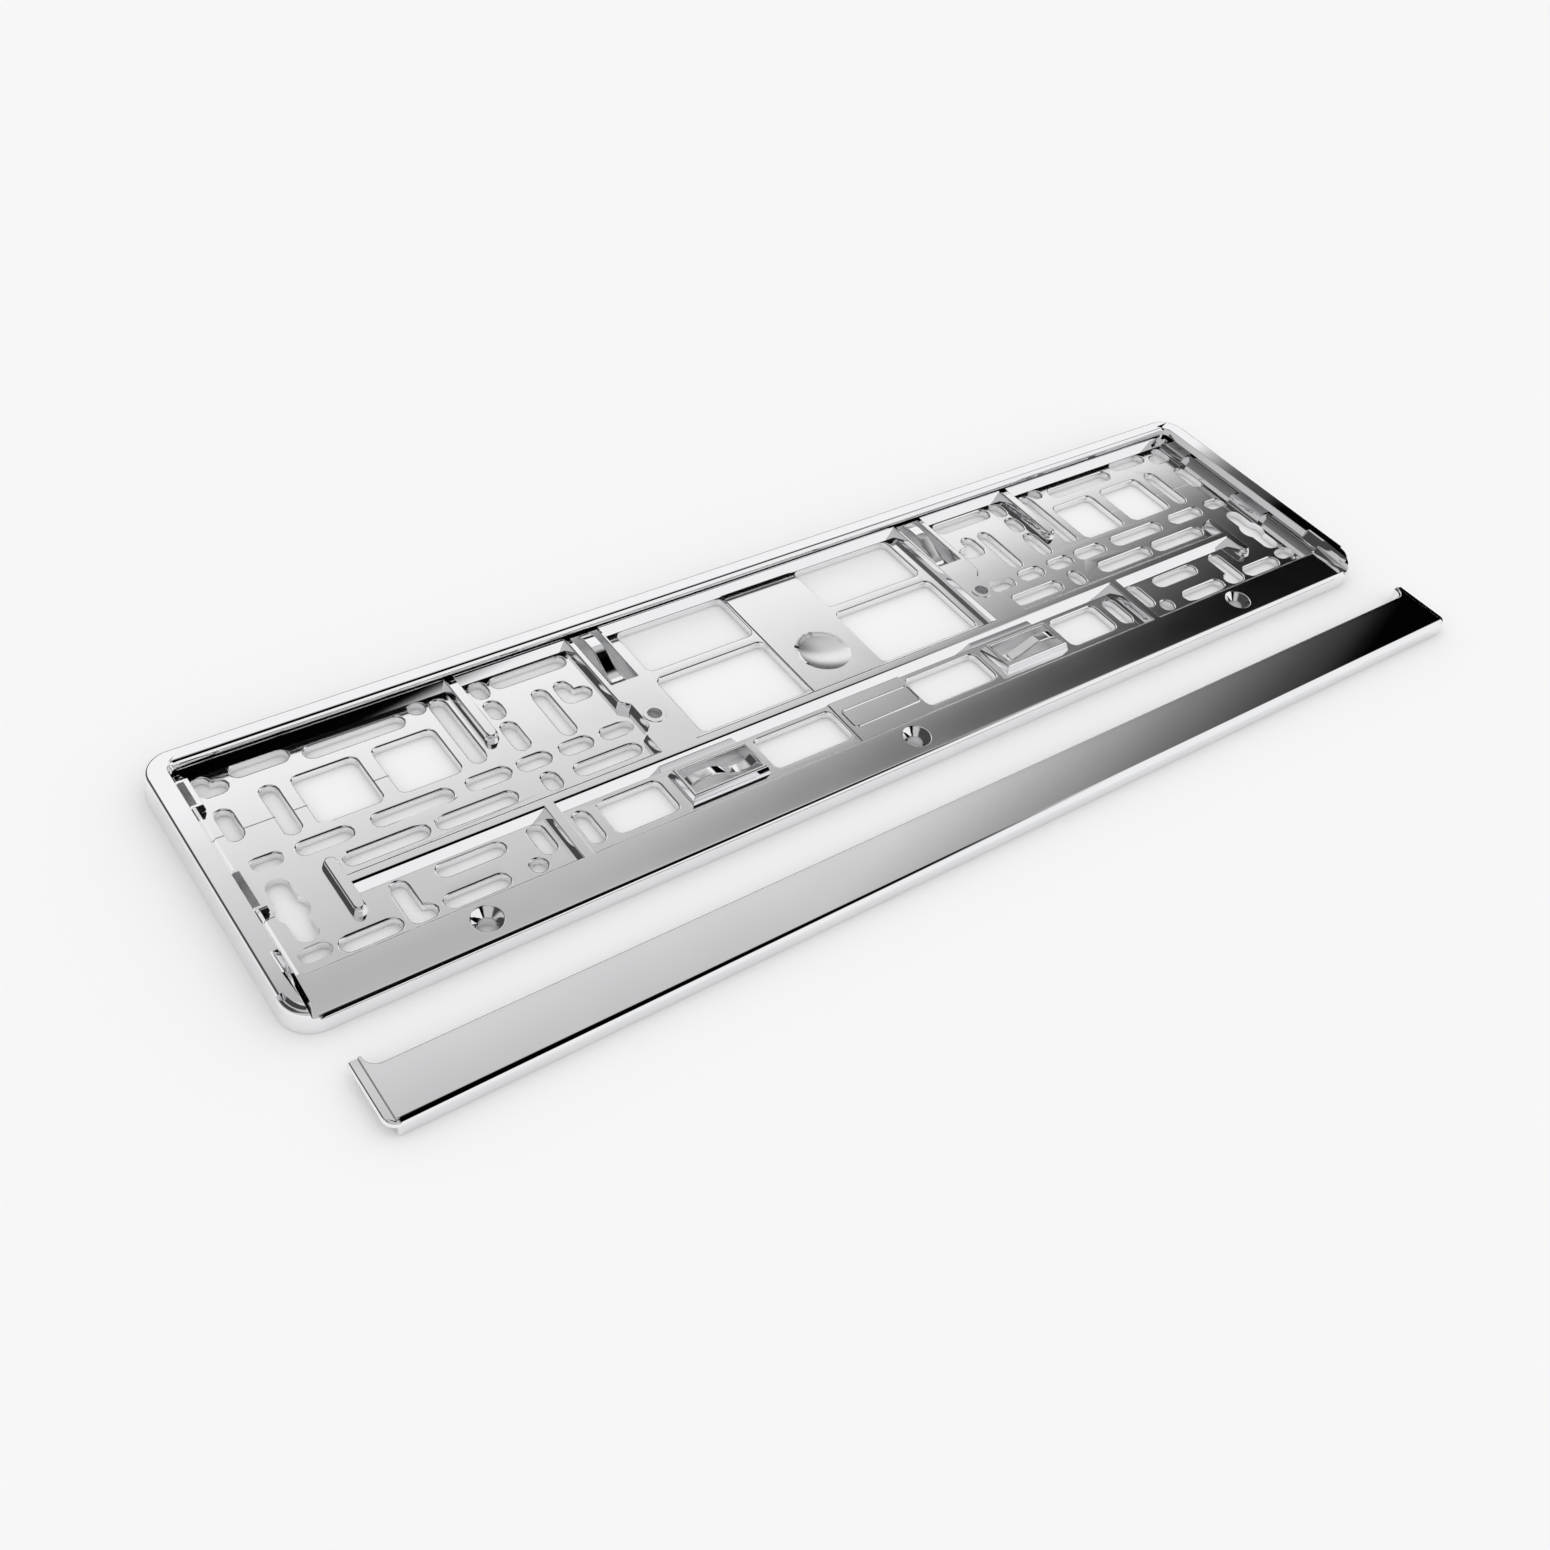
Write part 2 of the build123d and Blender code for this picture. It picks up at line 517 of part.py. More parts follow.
    # Slots with a foot, and the waisted slots near the ends
    upper_foot_y = FLOOR_FAR - UPPER_FOOT_SPAN[1] + SLOT_WIDTH / 2
    upper_foot_outer = UPPER_FOOT_X + SLOT_WIDTH / 2
    corner_foot_y = FLOOR_FAR - CORNER_FOOT_SPAN[1] + SLOT_WIDTH / 2
    corner_foot_outer = CORNER_FOOT_INSET - SLOT_WIDTH / 2
    with BuildSketch(Plane.XY.offset(FLOOR_TOP)):
        slots_across(UPPER_FOOT_X, below_far(UPPER_FOOT_SPAN))
        slots_along(upper_foot_y, [(upper_foot_outer - UPPER_FOOT_LENGTH, upper_foot_outer)])
        slots_across(FLOOR_END - CORNER_FOOT_INSET, below_far(CORNER_FOOT_SPAN))
        slots_along(corner_foot_y, from_end((corner_foot_outer, corner_foot_outer + CORNER_FOOT_LENGTH)))
        slots_across(FLOOR_END - LOWER_FOOT_INSET, above_near(LOWER_FOOT_SPAN))
        for start, end in below_far(WAIST_SLOT_SPAN):
            with both_sides(FLOOR_END - WAIST_SLOT_INSET, (start + end) / 2):
                SlotOverall(start - end, WAIST_SLOT_WIDTH, rotation=90)
        with both_sides(FLOOR_END - WAIST_SLOT_INSET, FLOOR_FAR - WAIST_BULGE_INSET):
            Circle(WAIST_BULGE_RADIUS)
    extrude(amount=-FLOOR_TOP, mode=Mode.SUBTRACT)

    # Spring windows right through their boxes
    with BuildSketch(Plane.XY.offset(SUPPORT_TOP)):
        with both_sides(UPPER_SPRING_X, UPPER_WINDOW_FAR - UPPER_WINDOW_LENGTH / 2):
            Rectangle(UPPER_WINDOW_WIDTH, UPPER_WINDOW_LENGTH)
        with both_sides(LOWER_BOX_X, LOWER_BOX_Y):
            Rectangle(LOWER_WINDOW_LENGTH, LOWER_WINDOW_WIDTH)
    extrude(amount=-SUPPORT_TOP, mode=Mode.SUBTRACT)

    # Wavy spring tongues, let into their windows at both ends
    for side in (-1, 1):
        with BuildSketch(Plane.YZ.offset(side * UPPER_SPRING_X)):
            with BuildLine():
                tongue_outline(tongue_wave(UPPER_WINDOW_NEAR, UPPER_WINDOW_FAR))
            make_face()
        extrude(amount=UPPER_TONGUE_WIDTH / 2, both=True)
        with BuildSketch(Plane.XZ.offset(-LOWER_BOX_Y)):
            with BuildLine():
                wave = tongue_wave(LOWER_WINDOW_INNER, LOWER_WINDOW_OUTER)
                tongue_outline([(side * x, z) for x, z in wave])
            make_face()
        extrude(amount=LOWER_TONGUE_WIDTH / 2, both=True)

    # Dished mark on the middle pad
    with Locations((0, FLOOR_FAR - DISH_INSET, FLOOR_TOP + PAD_RISE + DISH_SPHERE - DISH_DEPTH)):
        Sphere(DISH_SPHERE, mode=Mode.SUBTRACT)

    # Raised rings with screw holes on the far spring boxes
    with BuildSketch(Plane.XY.offset(SUPPORT_TOP)):
        with both_sides(UPPER_SPRING_X, BOSS_Y):
            Circle(BOSS_RING_RADIUS)
    extrude(amount=BOSS_RING_RISE)
    with BuildSketch(Plane.XY.offset(SUPPORT_TOP + BOSS_RING_RISE)):
        with both_sides(UPPER_SPRING_X, BOSS_Y):
            Circle(BOSS_HOLE_RADIUS)
    extrude(amount=-SUPPORT_TOP - BOSS_RING_RISE, mode=Mode.SUBTRACT)

    # Countersunk screw holes in the near band
    with Locations(Plane.XY.offset(SUPPORT_TOP)):
        with Locations(*screw_places()):
            CounterSinkHole(SCREW_RADIUS, COUNTERSINK_RADIUS)

    # Stop ridges at the floor's ends, each with a core hole behind it
    for side in (-1, 1):
        for far, near in below_far(*STOP_SPANS):
            with BuildSketch(Plane.XZ.offset(-(near + far) / 2)) as stop_side:
                Polygon(
                    (side * (FLOOR_END - STOP_REACH), FLOOR_TOP),
                    (side * END_WALL_TOP, FLOOR_TOP),
                    (side * END_WALL_TOP, SUPPORT_TOP),
                    (side * (FLOOR_END - STOP_REACH + STOP_SLOPE), SUPPORT_TOP),
                    align=None,
                )
                top_corners = stop_side.vertices().group_by(Axis.Z)[-1]
                fillet(top_corners.sort_by(lambda v: abs(v.X))[0], STOP_EDGE_RADIUS)
            extrude(amount=(far - near) / 2, both=True)
    with BuildSketch(Plane.XY.offset(SUPPORT_TOP)):
        for far, near in below_far(*STOP_SPANS):
            with both_sides(FLOOR_END + CORE_HOLE_WIDTH / 2, (near + far) / 2):
                Rectangle(CORE_HOLE_WIDTH, far - near - 2 * CORE_HOLE_END_WALL)
    extrude(amount=-SUPPORT_TOP, mode=Mode.SUBTRACT)

    # Hollow back of the near band and the far ledge, with webs between the pockets
    with BuildSketch():
        for near, far in (BAND_POCKET, LEDGE_POCKET):
            with Locations((0, (near + far) / 2)):
                with GridLocations(POCKET_PITCH, 1, POCKET_COUNT, 1):
                    Rectangle(POCKET_PITCH - SKIN, far - near)
        with Locations(*screw_places()):
            Circle(SCREW_BOSS_RADIUS, mode=Mode.SUBTRACT)
    extrude(amount=SUPPORT_TOP - SKIN, mode=Mode.SUBTRACT)

with BuildPart() as retaining_strip:
    # Plan of the strip: rounded near corners and a short tab at each far corner
    with BuildSketch() as strip_plan:
        with Locations((STRIP_X, STRIP_NEAR + STRIP_WIDTH / 2)):
            Rectangle(STRIP_LENGTH, STRIP_WIDTH)
        fillet(strip_plan.vertices().group_by(Axis.Y)[0], STRIP_CORNER_RADIUS)
        with Locations((STRIP_X, STRIP_FAR)):
            with GridLocations(STRIP_LENGTH - STRIP_TAB_WIDTH, 1, 2, 1):
                Rectangle(STRIP_TAB_WIDTH, 2 * STRIP_TAB_LENGTH)
        fillet(strip_plan.vertices().group_by(Axis.Y)[-2], STRIP_TAB_FILLET)
    extrude(amount=STRIP_HEIGHT)

    # Rounded front edge and bevelled far edge of the face
    fillet(retaining_strip.edges().group_by(Axis.Z)[-1].sort_by(Axis.Y)[0], STRIP_FRONT_RADIUS)
    face_lines = retaining_strip.faces().sort_by(Axis.Z)[-1].edges().filter_by(Axis.X)
    chamfer(face_lines.sort_by(SortBy.LENGTH)[-2:].sort_by(Axis.Y)[-1], STRIP_FAR_BEVEL)

    # Thin flanges that overhang both ends, a little below the face
    with BuildSketch(Plane.XY.offset(STRIP_HEIGHT)):
        strip_ends()
    extrude(amount=-STRIP_FLANGE_DROP, mode=Mode.SUBTRACT)

    # Hollow underside, open along the far edge and below the flanges
    with BuildSketch():
        with Locations((STRIP_X, STRIP_NEAR + STRIP_FRONT_WALL + STRIP_WIDTH)):
            Rectangle(STRIP_LENGTH - 2 * (STRIP_FLANGE_WIDTH + STRIP_END_WALL), 2 * STRIP_WIDTH)
        strip_ends()
    extrude(amount=STRIP_HEIGHT - STRIP_SKIN, mode=Mode.SUBTRACT)

os.makedirs("parts", exist_ok=True)
plate_frame.part.label = "plate_frame"
export_step(plate_frame.part, "parts/plate_frame.step")
retaining_strip.part.label = "retaining_strip"
export_step(retaining_strip.part, "parts/retaining_strip.step")
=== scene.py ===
"""Dresses a chrome-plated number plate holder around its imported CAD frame.

Lengths are metres and every piece lies in the CAD frame: X along the holder, Y from the strip side to
the far rim, Z up, with the origin at the middle of the frame's back face.
"""

import logging
import math
from dataclasses import dataclass
from enum import Enum

import bmesh
import bpy
import numpy as np
from mathutils import Matrix, Vector


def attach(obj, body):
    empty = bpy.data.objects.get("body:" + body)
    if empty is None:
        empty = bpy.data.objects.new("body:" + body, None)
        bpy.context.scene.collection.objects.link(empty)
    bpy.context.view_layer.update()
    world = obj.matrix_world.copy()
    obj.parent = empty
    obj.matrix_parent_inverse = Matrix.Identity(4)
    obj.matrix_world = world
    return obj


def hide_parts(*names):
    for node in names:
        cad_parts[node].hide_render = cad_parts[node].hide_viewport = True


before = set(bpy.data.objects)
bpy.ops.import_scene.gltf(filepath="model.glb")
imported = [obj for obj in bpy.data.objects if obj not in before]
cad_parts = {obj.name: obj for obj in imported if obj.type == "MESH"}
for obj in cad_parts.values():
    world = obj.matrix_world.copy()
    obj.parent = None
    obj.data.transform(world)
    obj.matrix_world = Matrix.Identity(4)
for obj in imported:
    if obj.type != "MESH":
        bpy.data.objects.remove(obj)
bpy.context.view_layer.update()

LOG = logging.getLogger("plate_holder")
BODY = "root"
MM = 0.001
MICRON = 1e-6
TINY = 1e-15
FULL_TURN = 2 * math.pi
WHITE = (1.0, 1.0, 1.0, 1.0)

# The shared textures of the plating: fine grain, the drift that hazes it, and slow waves.
GRAIN_DETAIL = 2.0
DRIFT_SCALE = 28.0
DRIFT_DETAIL = 3.0
DRIFT_MIDDLE = 0.5
LEAST_ROUGHNESS = 0.015
HAZE_SPAN = (0.72, 0.40)
HAZE_TINT = (0.975, 0.977, 0.982, 1.0)
WAVE_DETAIL = 1.0
WAVE_STRETCH = (0.35, 1.0, 1.0)

Level = float | bpy.types.NodeSocket
Stops = tuple[tuple[float, float], ...]


class Zone(Enum):
    """Surface zones of a plated moulding, each with its own finish."""

    RIM = 0
    BAND = 1
    FLOOR = 2
    BACK = 3


@dataclass(frozen=True)
class PlatingFinish:
    """One finish of the chrome plating.

    Attributes:
        name: The material's name.
        tint: Colour of the metal.
        roughness: Base level of the roughness.
        grain_size: Size of the fine moulded texture under the plating.
        grain_height: Height of that texture.
        wave_size: Size of the slow unevenness that bends long reflections.
        wave_height: Height of that unevenness.
        haze: How far the roughness drifts from its base level.
    """

    name: str
    tint: tuple[float, float, float]
    roughness: float
    grain_size: float
    grain_height: float
    wave_size: float
    wave_height: float
    haze: float

    def material(self) -> bpy.types.Material:
        """Build the finish's material.

        Returns:
            A metallic Principled material whose colour, roughness and normal come from the shared groups.
        """
        made = bpy.data.materials.new(self.name)
        made.use_nodes = True
        tree = made.node_tree
        shader = tree.nodes["Principled BSDF"]
        shader.inputs["Metallic"].default_value = 1.0
        place = tree.nodes.new("ShaderNodeTexCoord")
        grain = tree.nodes.new("ShaderNodeGroup")
        grain.node_tree = moulded_grain()
        grain.inputs["Size"].default_value = self.grain_size
        grain.inputs["Tint"].default_value = (*self.tint, 1.0)
        grain.inputs["Roughness"].default_value = self.roughness
        grain.inputs["Haze"].default_value = self.haze
        waves = tree.nodes.new("ShaderNodeGroup")
        waves.node_tree = flow_waves()
        waves.inputs["Size"].default_value = self.wave_size
        fine = tree.nodes.new("ShaderNodeBump")
        fine.inputs["Distance"].default_value = self.grain_height
        slow = tree.nodes.new("ShaderNodeBump")
        slow.inputs["Distance"].default_value = self.wave_height
        link = tree.links.new
        link(place.outputs["Object"], grain.inputs["Place"])
        link(place.outputs["Object"], waves.inputs["Place"])
        link(waves.outputs["Height"], slow.inputs["Height"])
        link(slow.outputs["Normal"], fine.inputs["Normal"])
        link(grain.outputs["Height"], fine.inputs["Height"])
        link(fine.outputs["Normal"], shader.inputs["Normal"])
        link(grain.outputs["Color"], shader.inputs["Base Color"])
        link(grain.outputs["Roughness"], shader.inputs["Roughness"])
        return made


class Finishes:
    """The plating finishes of the two mouldings."""

    RIM = PlatingFinish(
        "mirror_rim",
        tint=(0.93, 0.93, 0.94),
        roughness=0.03,
        grain_size=1.6 * MM,
        grain_height=1.0 * MICRON,
        wave_size=45.0 * MM,
        wave_height=10.0 * MICRON,
        haze=0.015,
    )
    BAND = PlatingFinish(
        "bright_band",
        tint=(0.92, 0.92, 0.92),
        roughness=0.07,
        grain_size=1.0 * MM,
        grain_height=2.0 * MICRON,
        wave_size=30.0 * MM,
        wave_height=12.0 * MICRON,
        haze=0.03,
    )
    FLOOR = PlatingFinish(
        "satin_floor",
        tint=(0.93, 0.93, 0.93),
        roughness=0.10,
        grain_size=0.7 * MM,
        grain_height=3.0 * MICRON,
        wave_size=30.0 * MM,
        wave_height=10.0 * MICRON,
        haze=0.04,
    )
    BACK = PlatingFinish(
        "satin_back",
        tint=(0.80, 0.80, 0.81),
        roughness=0.34,
        grain_size=0.9 * MM,
        grain_height=9.0 * MICRON,
        wave_size=30.0 * MM,
        wave_height=12.0 * MICRON,
        haze=0.06,
    )
    DISH = PlatingFinish(
        "satin_dish",
        tint=(0.92, 0.92, 0.92),
        roughness=0.24,
        grain_size=0.8 * MM,
        grain_height=6.0 * MICRON,
        wave_size=30.0 * MM,
        wave_height=10.0 * MICRON,
        haze=0.05,
    )
    STRIP = PlatingFinish(
        "mirror_strip",
        tint=(0.93, 0.93, 0.94),
        roughness=0.025,
        grain_size=1.6 * MM,
        grain_height=0.6 * MICRON,
        wave_size=70.0 * MM,
        wave_height=6.0 * MICRON,
        haze=0.01,
    )


def new_group(name: str, inputs: dict[str, str], outputs: dict[str, str]) -> bpy.types.NodeTree:
    """Start a shader node group with named sockets.

    Args:
        name: The group's name.
        inputs: Input names with their socket types.
        outputs: Output names with their socket types.

    Returns:
        The group, with its input and output nodes in place.
    """
    group = bpy.data.node_groups.new(name, "ShaderNodeTree")
    for label, kind in inputs.items():
        group.interface.new_socket(label, in_out="INPUT", socket_type=kind)
    for label, kind in outputs.items():
        group.interface.new_socket(label, in_out="OUTPUT", socket_type=kind)
    group.nodes.new("NodeGroupInput").name = "given"
    group.nodes.new("NodeGroupOutput").name = "made"
    return group


def feed(tree: bpy.types.NodeTree, socket: bpy.types.NodeSocket, value: Level) -> None:
    """Link an input to another socket, or set it to a number.

    Args:
        tree: The tree that holds the input.
        socket: The input.
        value: The number or the other socket.
    """
    if isinstance(value, bpy.types.NodeSocket):
        tree.links.new(value, socket)
    else:
        socket.default_value = value


def math_node(tree: bpy.types.NodeTree, operation: str, *values: Level) -> bpy.types.NodeSocket:
    """Add a Math node.

    Args:
        tree: The tree that takes the node.
        operation: The Math operation.
        values: Numbers or sockets for its inputs, in order.

    Returns:
        The node's result.
    """
    node = tree.nodes.new("ShaderNodeMath")
    node.operation = operation
    for socket, value in zip(node.inputs, values):
        feed(tree, socket, value)
    return node.outputs["Value"]


def blend(tree: bpy.types.NodeTree, share: Level, first: Level, second: Level) -> bpy.types.NodeSocket:
    """Blend two levels.

    Args:
        tree: The tree that takes the node.
        share: How much of the second level shows.
        first: The level at share 0.
        second: The level at share 1.

    Returns:
        The blended level.
    """
    node = tree.nodes.new("ShaderNodeMix")
    for label, value in (("Factor", share), ("A", first), ("B", second)):
        feed(tree, node.inputs[label], value)
    return node.outputs["Result"]


def smooth_step(
    tree: bpy.types.NodeTree, value: bpy.types.NodeSocket, low: float, high: float
) -> bpy.types.NodeSocket:
    """Add a smooth ramp from 0 at low to 1 at high.

    Args:
        tree: The tree that takes the node.
        value: The socket to ramp.
        low: The value that gives 0.
        high: The value that gives 1.

    Returns:
        The ramp's result.
    """
    node = tree.nodes.new("ShaderNodeMapRange")
    node.interpolation_type = "SMOOTHSTEP"
    tree.links.new(value, node.inputs["Value"])
    node.inputs["From Min"].default_value = low
    node.inputs["From Max"].default_value = high
    return node.outputs["Result"]


def noise_node(
    tree: bpy.types.NodeTree, place: bpy.types.NodeSocket, scale: Level, detail: float
) -> bpy.types.NodeSocket:
    """Add a noise texture.

    Args:
        tree: The tree that takes the node.
        place: The socket with the place.
        scale: The noise's scale.
        detail: The noise's detail.

    Returns:
        The noise's level.
    """
    node = tree.nodes.new("ShaderNodeTexNoise")
    tree.links.new(place, node.inputs["Vector"])
    feed(tree, node.inputs["Scale"], scale)
    node.inputs["Detail"].default_value = detail
    return node.outputs["Fac"]


def moulded_grain() -> bpy.types.NodeTree:
    """Shared fine texture of the plated plastic: grain height, tint and roughness that drift with it.

    Returns:
        The group, made once.
    """
    name = "moulded_grain"
    if name in bpy.data.node_groups:
        return bpy.data.node_groups[name]
    group = new_group(
        name,
        {
            "Place": "NodeSocketVector",
            "Size": "NodeSocketFloat",
            "Tint": "NodeSocketColor",
            "Roughness": "NodeSocketFloat",
            "Haze": "NodeSocketFloat",
        },
        {"Color": "NodeSocketColor", "Roughness": "NodeSocketFloat", "Height": "NodeSocketFloat"},
    )
    given, made = group.nodes["given"].outputs, group.nodes["made"].inputs
    link = group.links.new
    scale = math_node(group, "DIVIDE", 1.0, given["Size"])
    fine = noise_node(group, given["Place"], scale, GRAIN_DETAIL)
    drift = noise_node(group, given["Place"], DRIFT_SCALE, DRIFT_DETAIL)
    swing = math_node(group, "SUBTRACT", drift, DRIFT_MIDDLE)
    haze = math_node(group, "MULTIPLY", swing, given["Haze"])
    rough = math_node(group, "ADD", given["Roughness"], haze)
    link(math_node(group, "MAXIMUM", rough, LEAST_ROUGHNESS), made["Roughness"])
    shade = group.nodes.new("ShaderNodeMix")
    shade.data_type = "RGBA"
    shade.blend_type = "MULTIPLY"
    link(smooth_step(group, drift, *HAZE_SPAN), shade.inputs["Factor"])
    link(given["Tint"], shade.inputs["A"])
    shade.inputs["B"].default_value = HAZE_TINT
    link(shade.outputs["Result"], made["Color"])
    link(fine, made["Height"])
    return group


def flow_waves() -> bpy.types.NodeTree:
    """Shared slow unevenness of a moulded face, longer along X than across it.

    Returns:
        The group, made once.
    """
    name = "flow_waves"
    if name in bpy.data.node_groups:
        return bpy.data.node_groups[name]
    group = new_group(
        name,
        {"Place": "NodeSocketVector", "Size": "NodeSocketFloat"},
        {"Height": "NodeSocketFloat"},
    )
    given, made = group.nodes["given"].outputs, group.nodes["made"].inputs
    stretch = group.nodes.new("ShaderNodeMapping")
    stretch.inputs["Scale"].default_value = WAVE_STRETCH
    group.links.new(given["Place"], stretch.inputs["Vector"])
    scale = math_node(group, "DIVIDE", 1.0, given["Size"])
    waves = noise_node(group, stretch.outputs["Vector"], scale, WAVE_DETAIL)
    group.links.new(waves, made["Height"])
    return group


def shared_material(finish: PlatingFinish) -> bpy.types.Material:
    """The finish's material, made once."""
    return bpy.data.materials.get(finish.name) or finish.material()


def dot(one: np.ndarray, two: np.ndarray) -> np.ndarray:
    """The dot product of each row of one array with the same row of the other."""
    return np.einsum("ij,ij->i", one, two)


def unit(vectors: np.ndarray) -> np.ndarray:
    """Each row of an array brought to length one."""
    return vectors / np.maximum(np.linalg.norm(vectors, axis=1), TINY)[:, None]


def runs(begin: np.ndarray, length: np.ndarray) -> tuple[np.ndarray, np.ndarray]:
    """Lay runs of counting numbers end to end.

    Args:
        begin: The first number of each run.
        length: How many numbers each run has.

    Returns:
        Where each run starts in the row, and the row itself.
    """
    first = np.cumsum(length) - length
    return first, np.arange(length.sum()) - np.repeat(first - begin, length)


def read_array(
    items: bpy.types.bpy_prop_collection, field: str, shape: tuple[int, ...], kind: type = np.float64
) -> np.ndarray:
    """Read one field of a mesh's items.

    Args:
        items: The mesh's vertices, loops, polygons or triangles.
        field: The field's name.
        shape: The shape of the whole array.
        kind: The numbers' type.

    Returns:
        The field as an array.
    """
    flat = np.empty(math.prod(shape), dtype=kind)
    items.foreach_get(field, flat)
    return flat.reshape(shape)


@dataclass(frozen=True)
class MeshArrays:
    """A mesh as arrays.

    Attributes:
        point: Place of each vertex.
        normal: Normal of each face.
        area: Area of each face.
        start: First loop of each face.
        total: Number of loops of each face.
        corner: Vertex of each loop.
        edge: Edge of each loop.
        face: Face of each loop.
        following: Next loop around the same face.
    """

    point: np.ndarray
    normal: np.ndarray
    area: np.ndarray
    start: np.ndarray
    total: np.ndarray
    corner: np.ndarray
    edge: np.ndarray
    face: np.ndarray
    following: np.ndarray

    @classmethod
    def of(cls, mesh: bpy.types.Mesh) -> "MeshArrays":
        """Read a mesh's arrays."""
        faces, loops = len(mesh.polygons), len(mesh.loops)
        start = read_array(mesh.polygons, "loop_start", (faces,), np.int32)
        total = read_array(mesh.polygons, "loop_total", (faces,), np.int32)
        following = np.arange(loops) + 1
        following[start + total - 1] = start
        return cls(
            point=read_array(mesh.vertices, "co", (len(mesh.vertices), 3)),
            normal=read_array(mesh.polygons, "normal", (faces, 3)),
            area=read_array(mesh.polygons, "area", (faces,)),
            start=start,
            total=total,
            corner=read_array(mesh.loops, "vertex_index", (loops,), np.int32),
            edge=read_array(mesh.loops, "edge_index", (loops,), np.int32),
            face=np.repeat(np.arange(faces), total),
            following=following,
        )


@dataclass(frozen=True)
class CrispPlace:
    """A box in plan, and its mirror image in X, where edges take only a share of the rounding."""

    x: float
    y: float
    half_length: float
    half_width: float
    share: float

    def holds(self, points: np.ndarray) -> np.ndarray:
        """Tell which points lie in the box or in its mirror image."""
        along = np.abs(np.abs(points[:, 0]) - self.x) < self.half_length
        return along & (np.abs(points[:, 1] - self.y) < self.half_width)


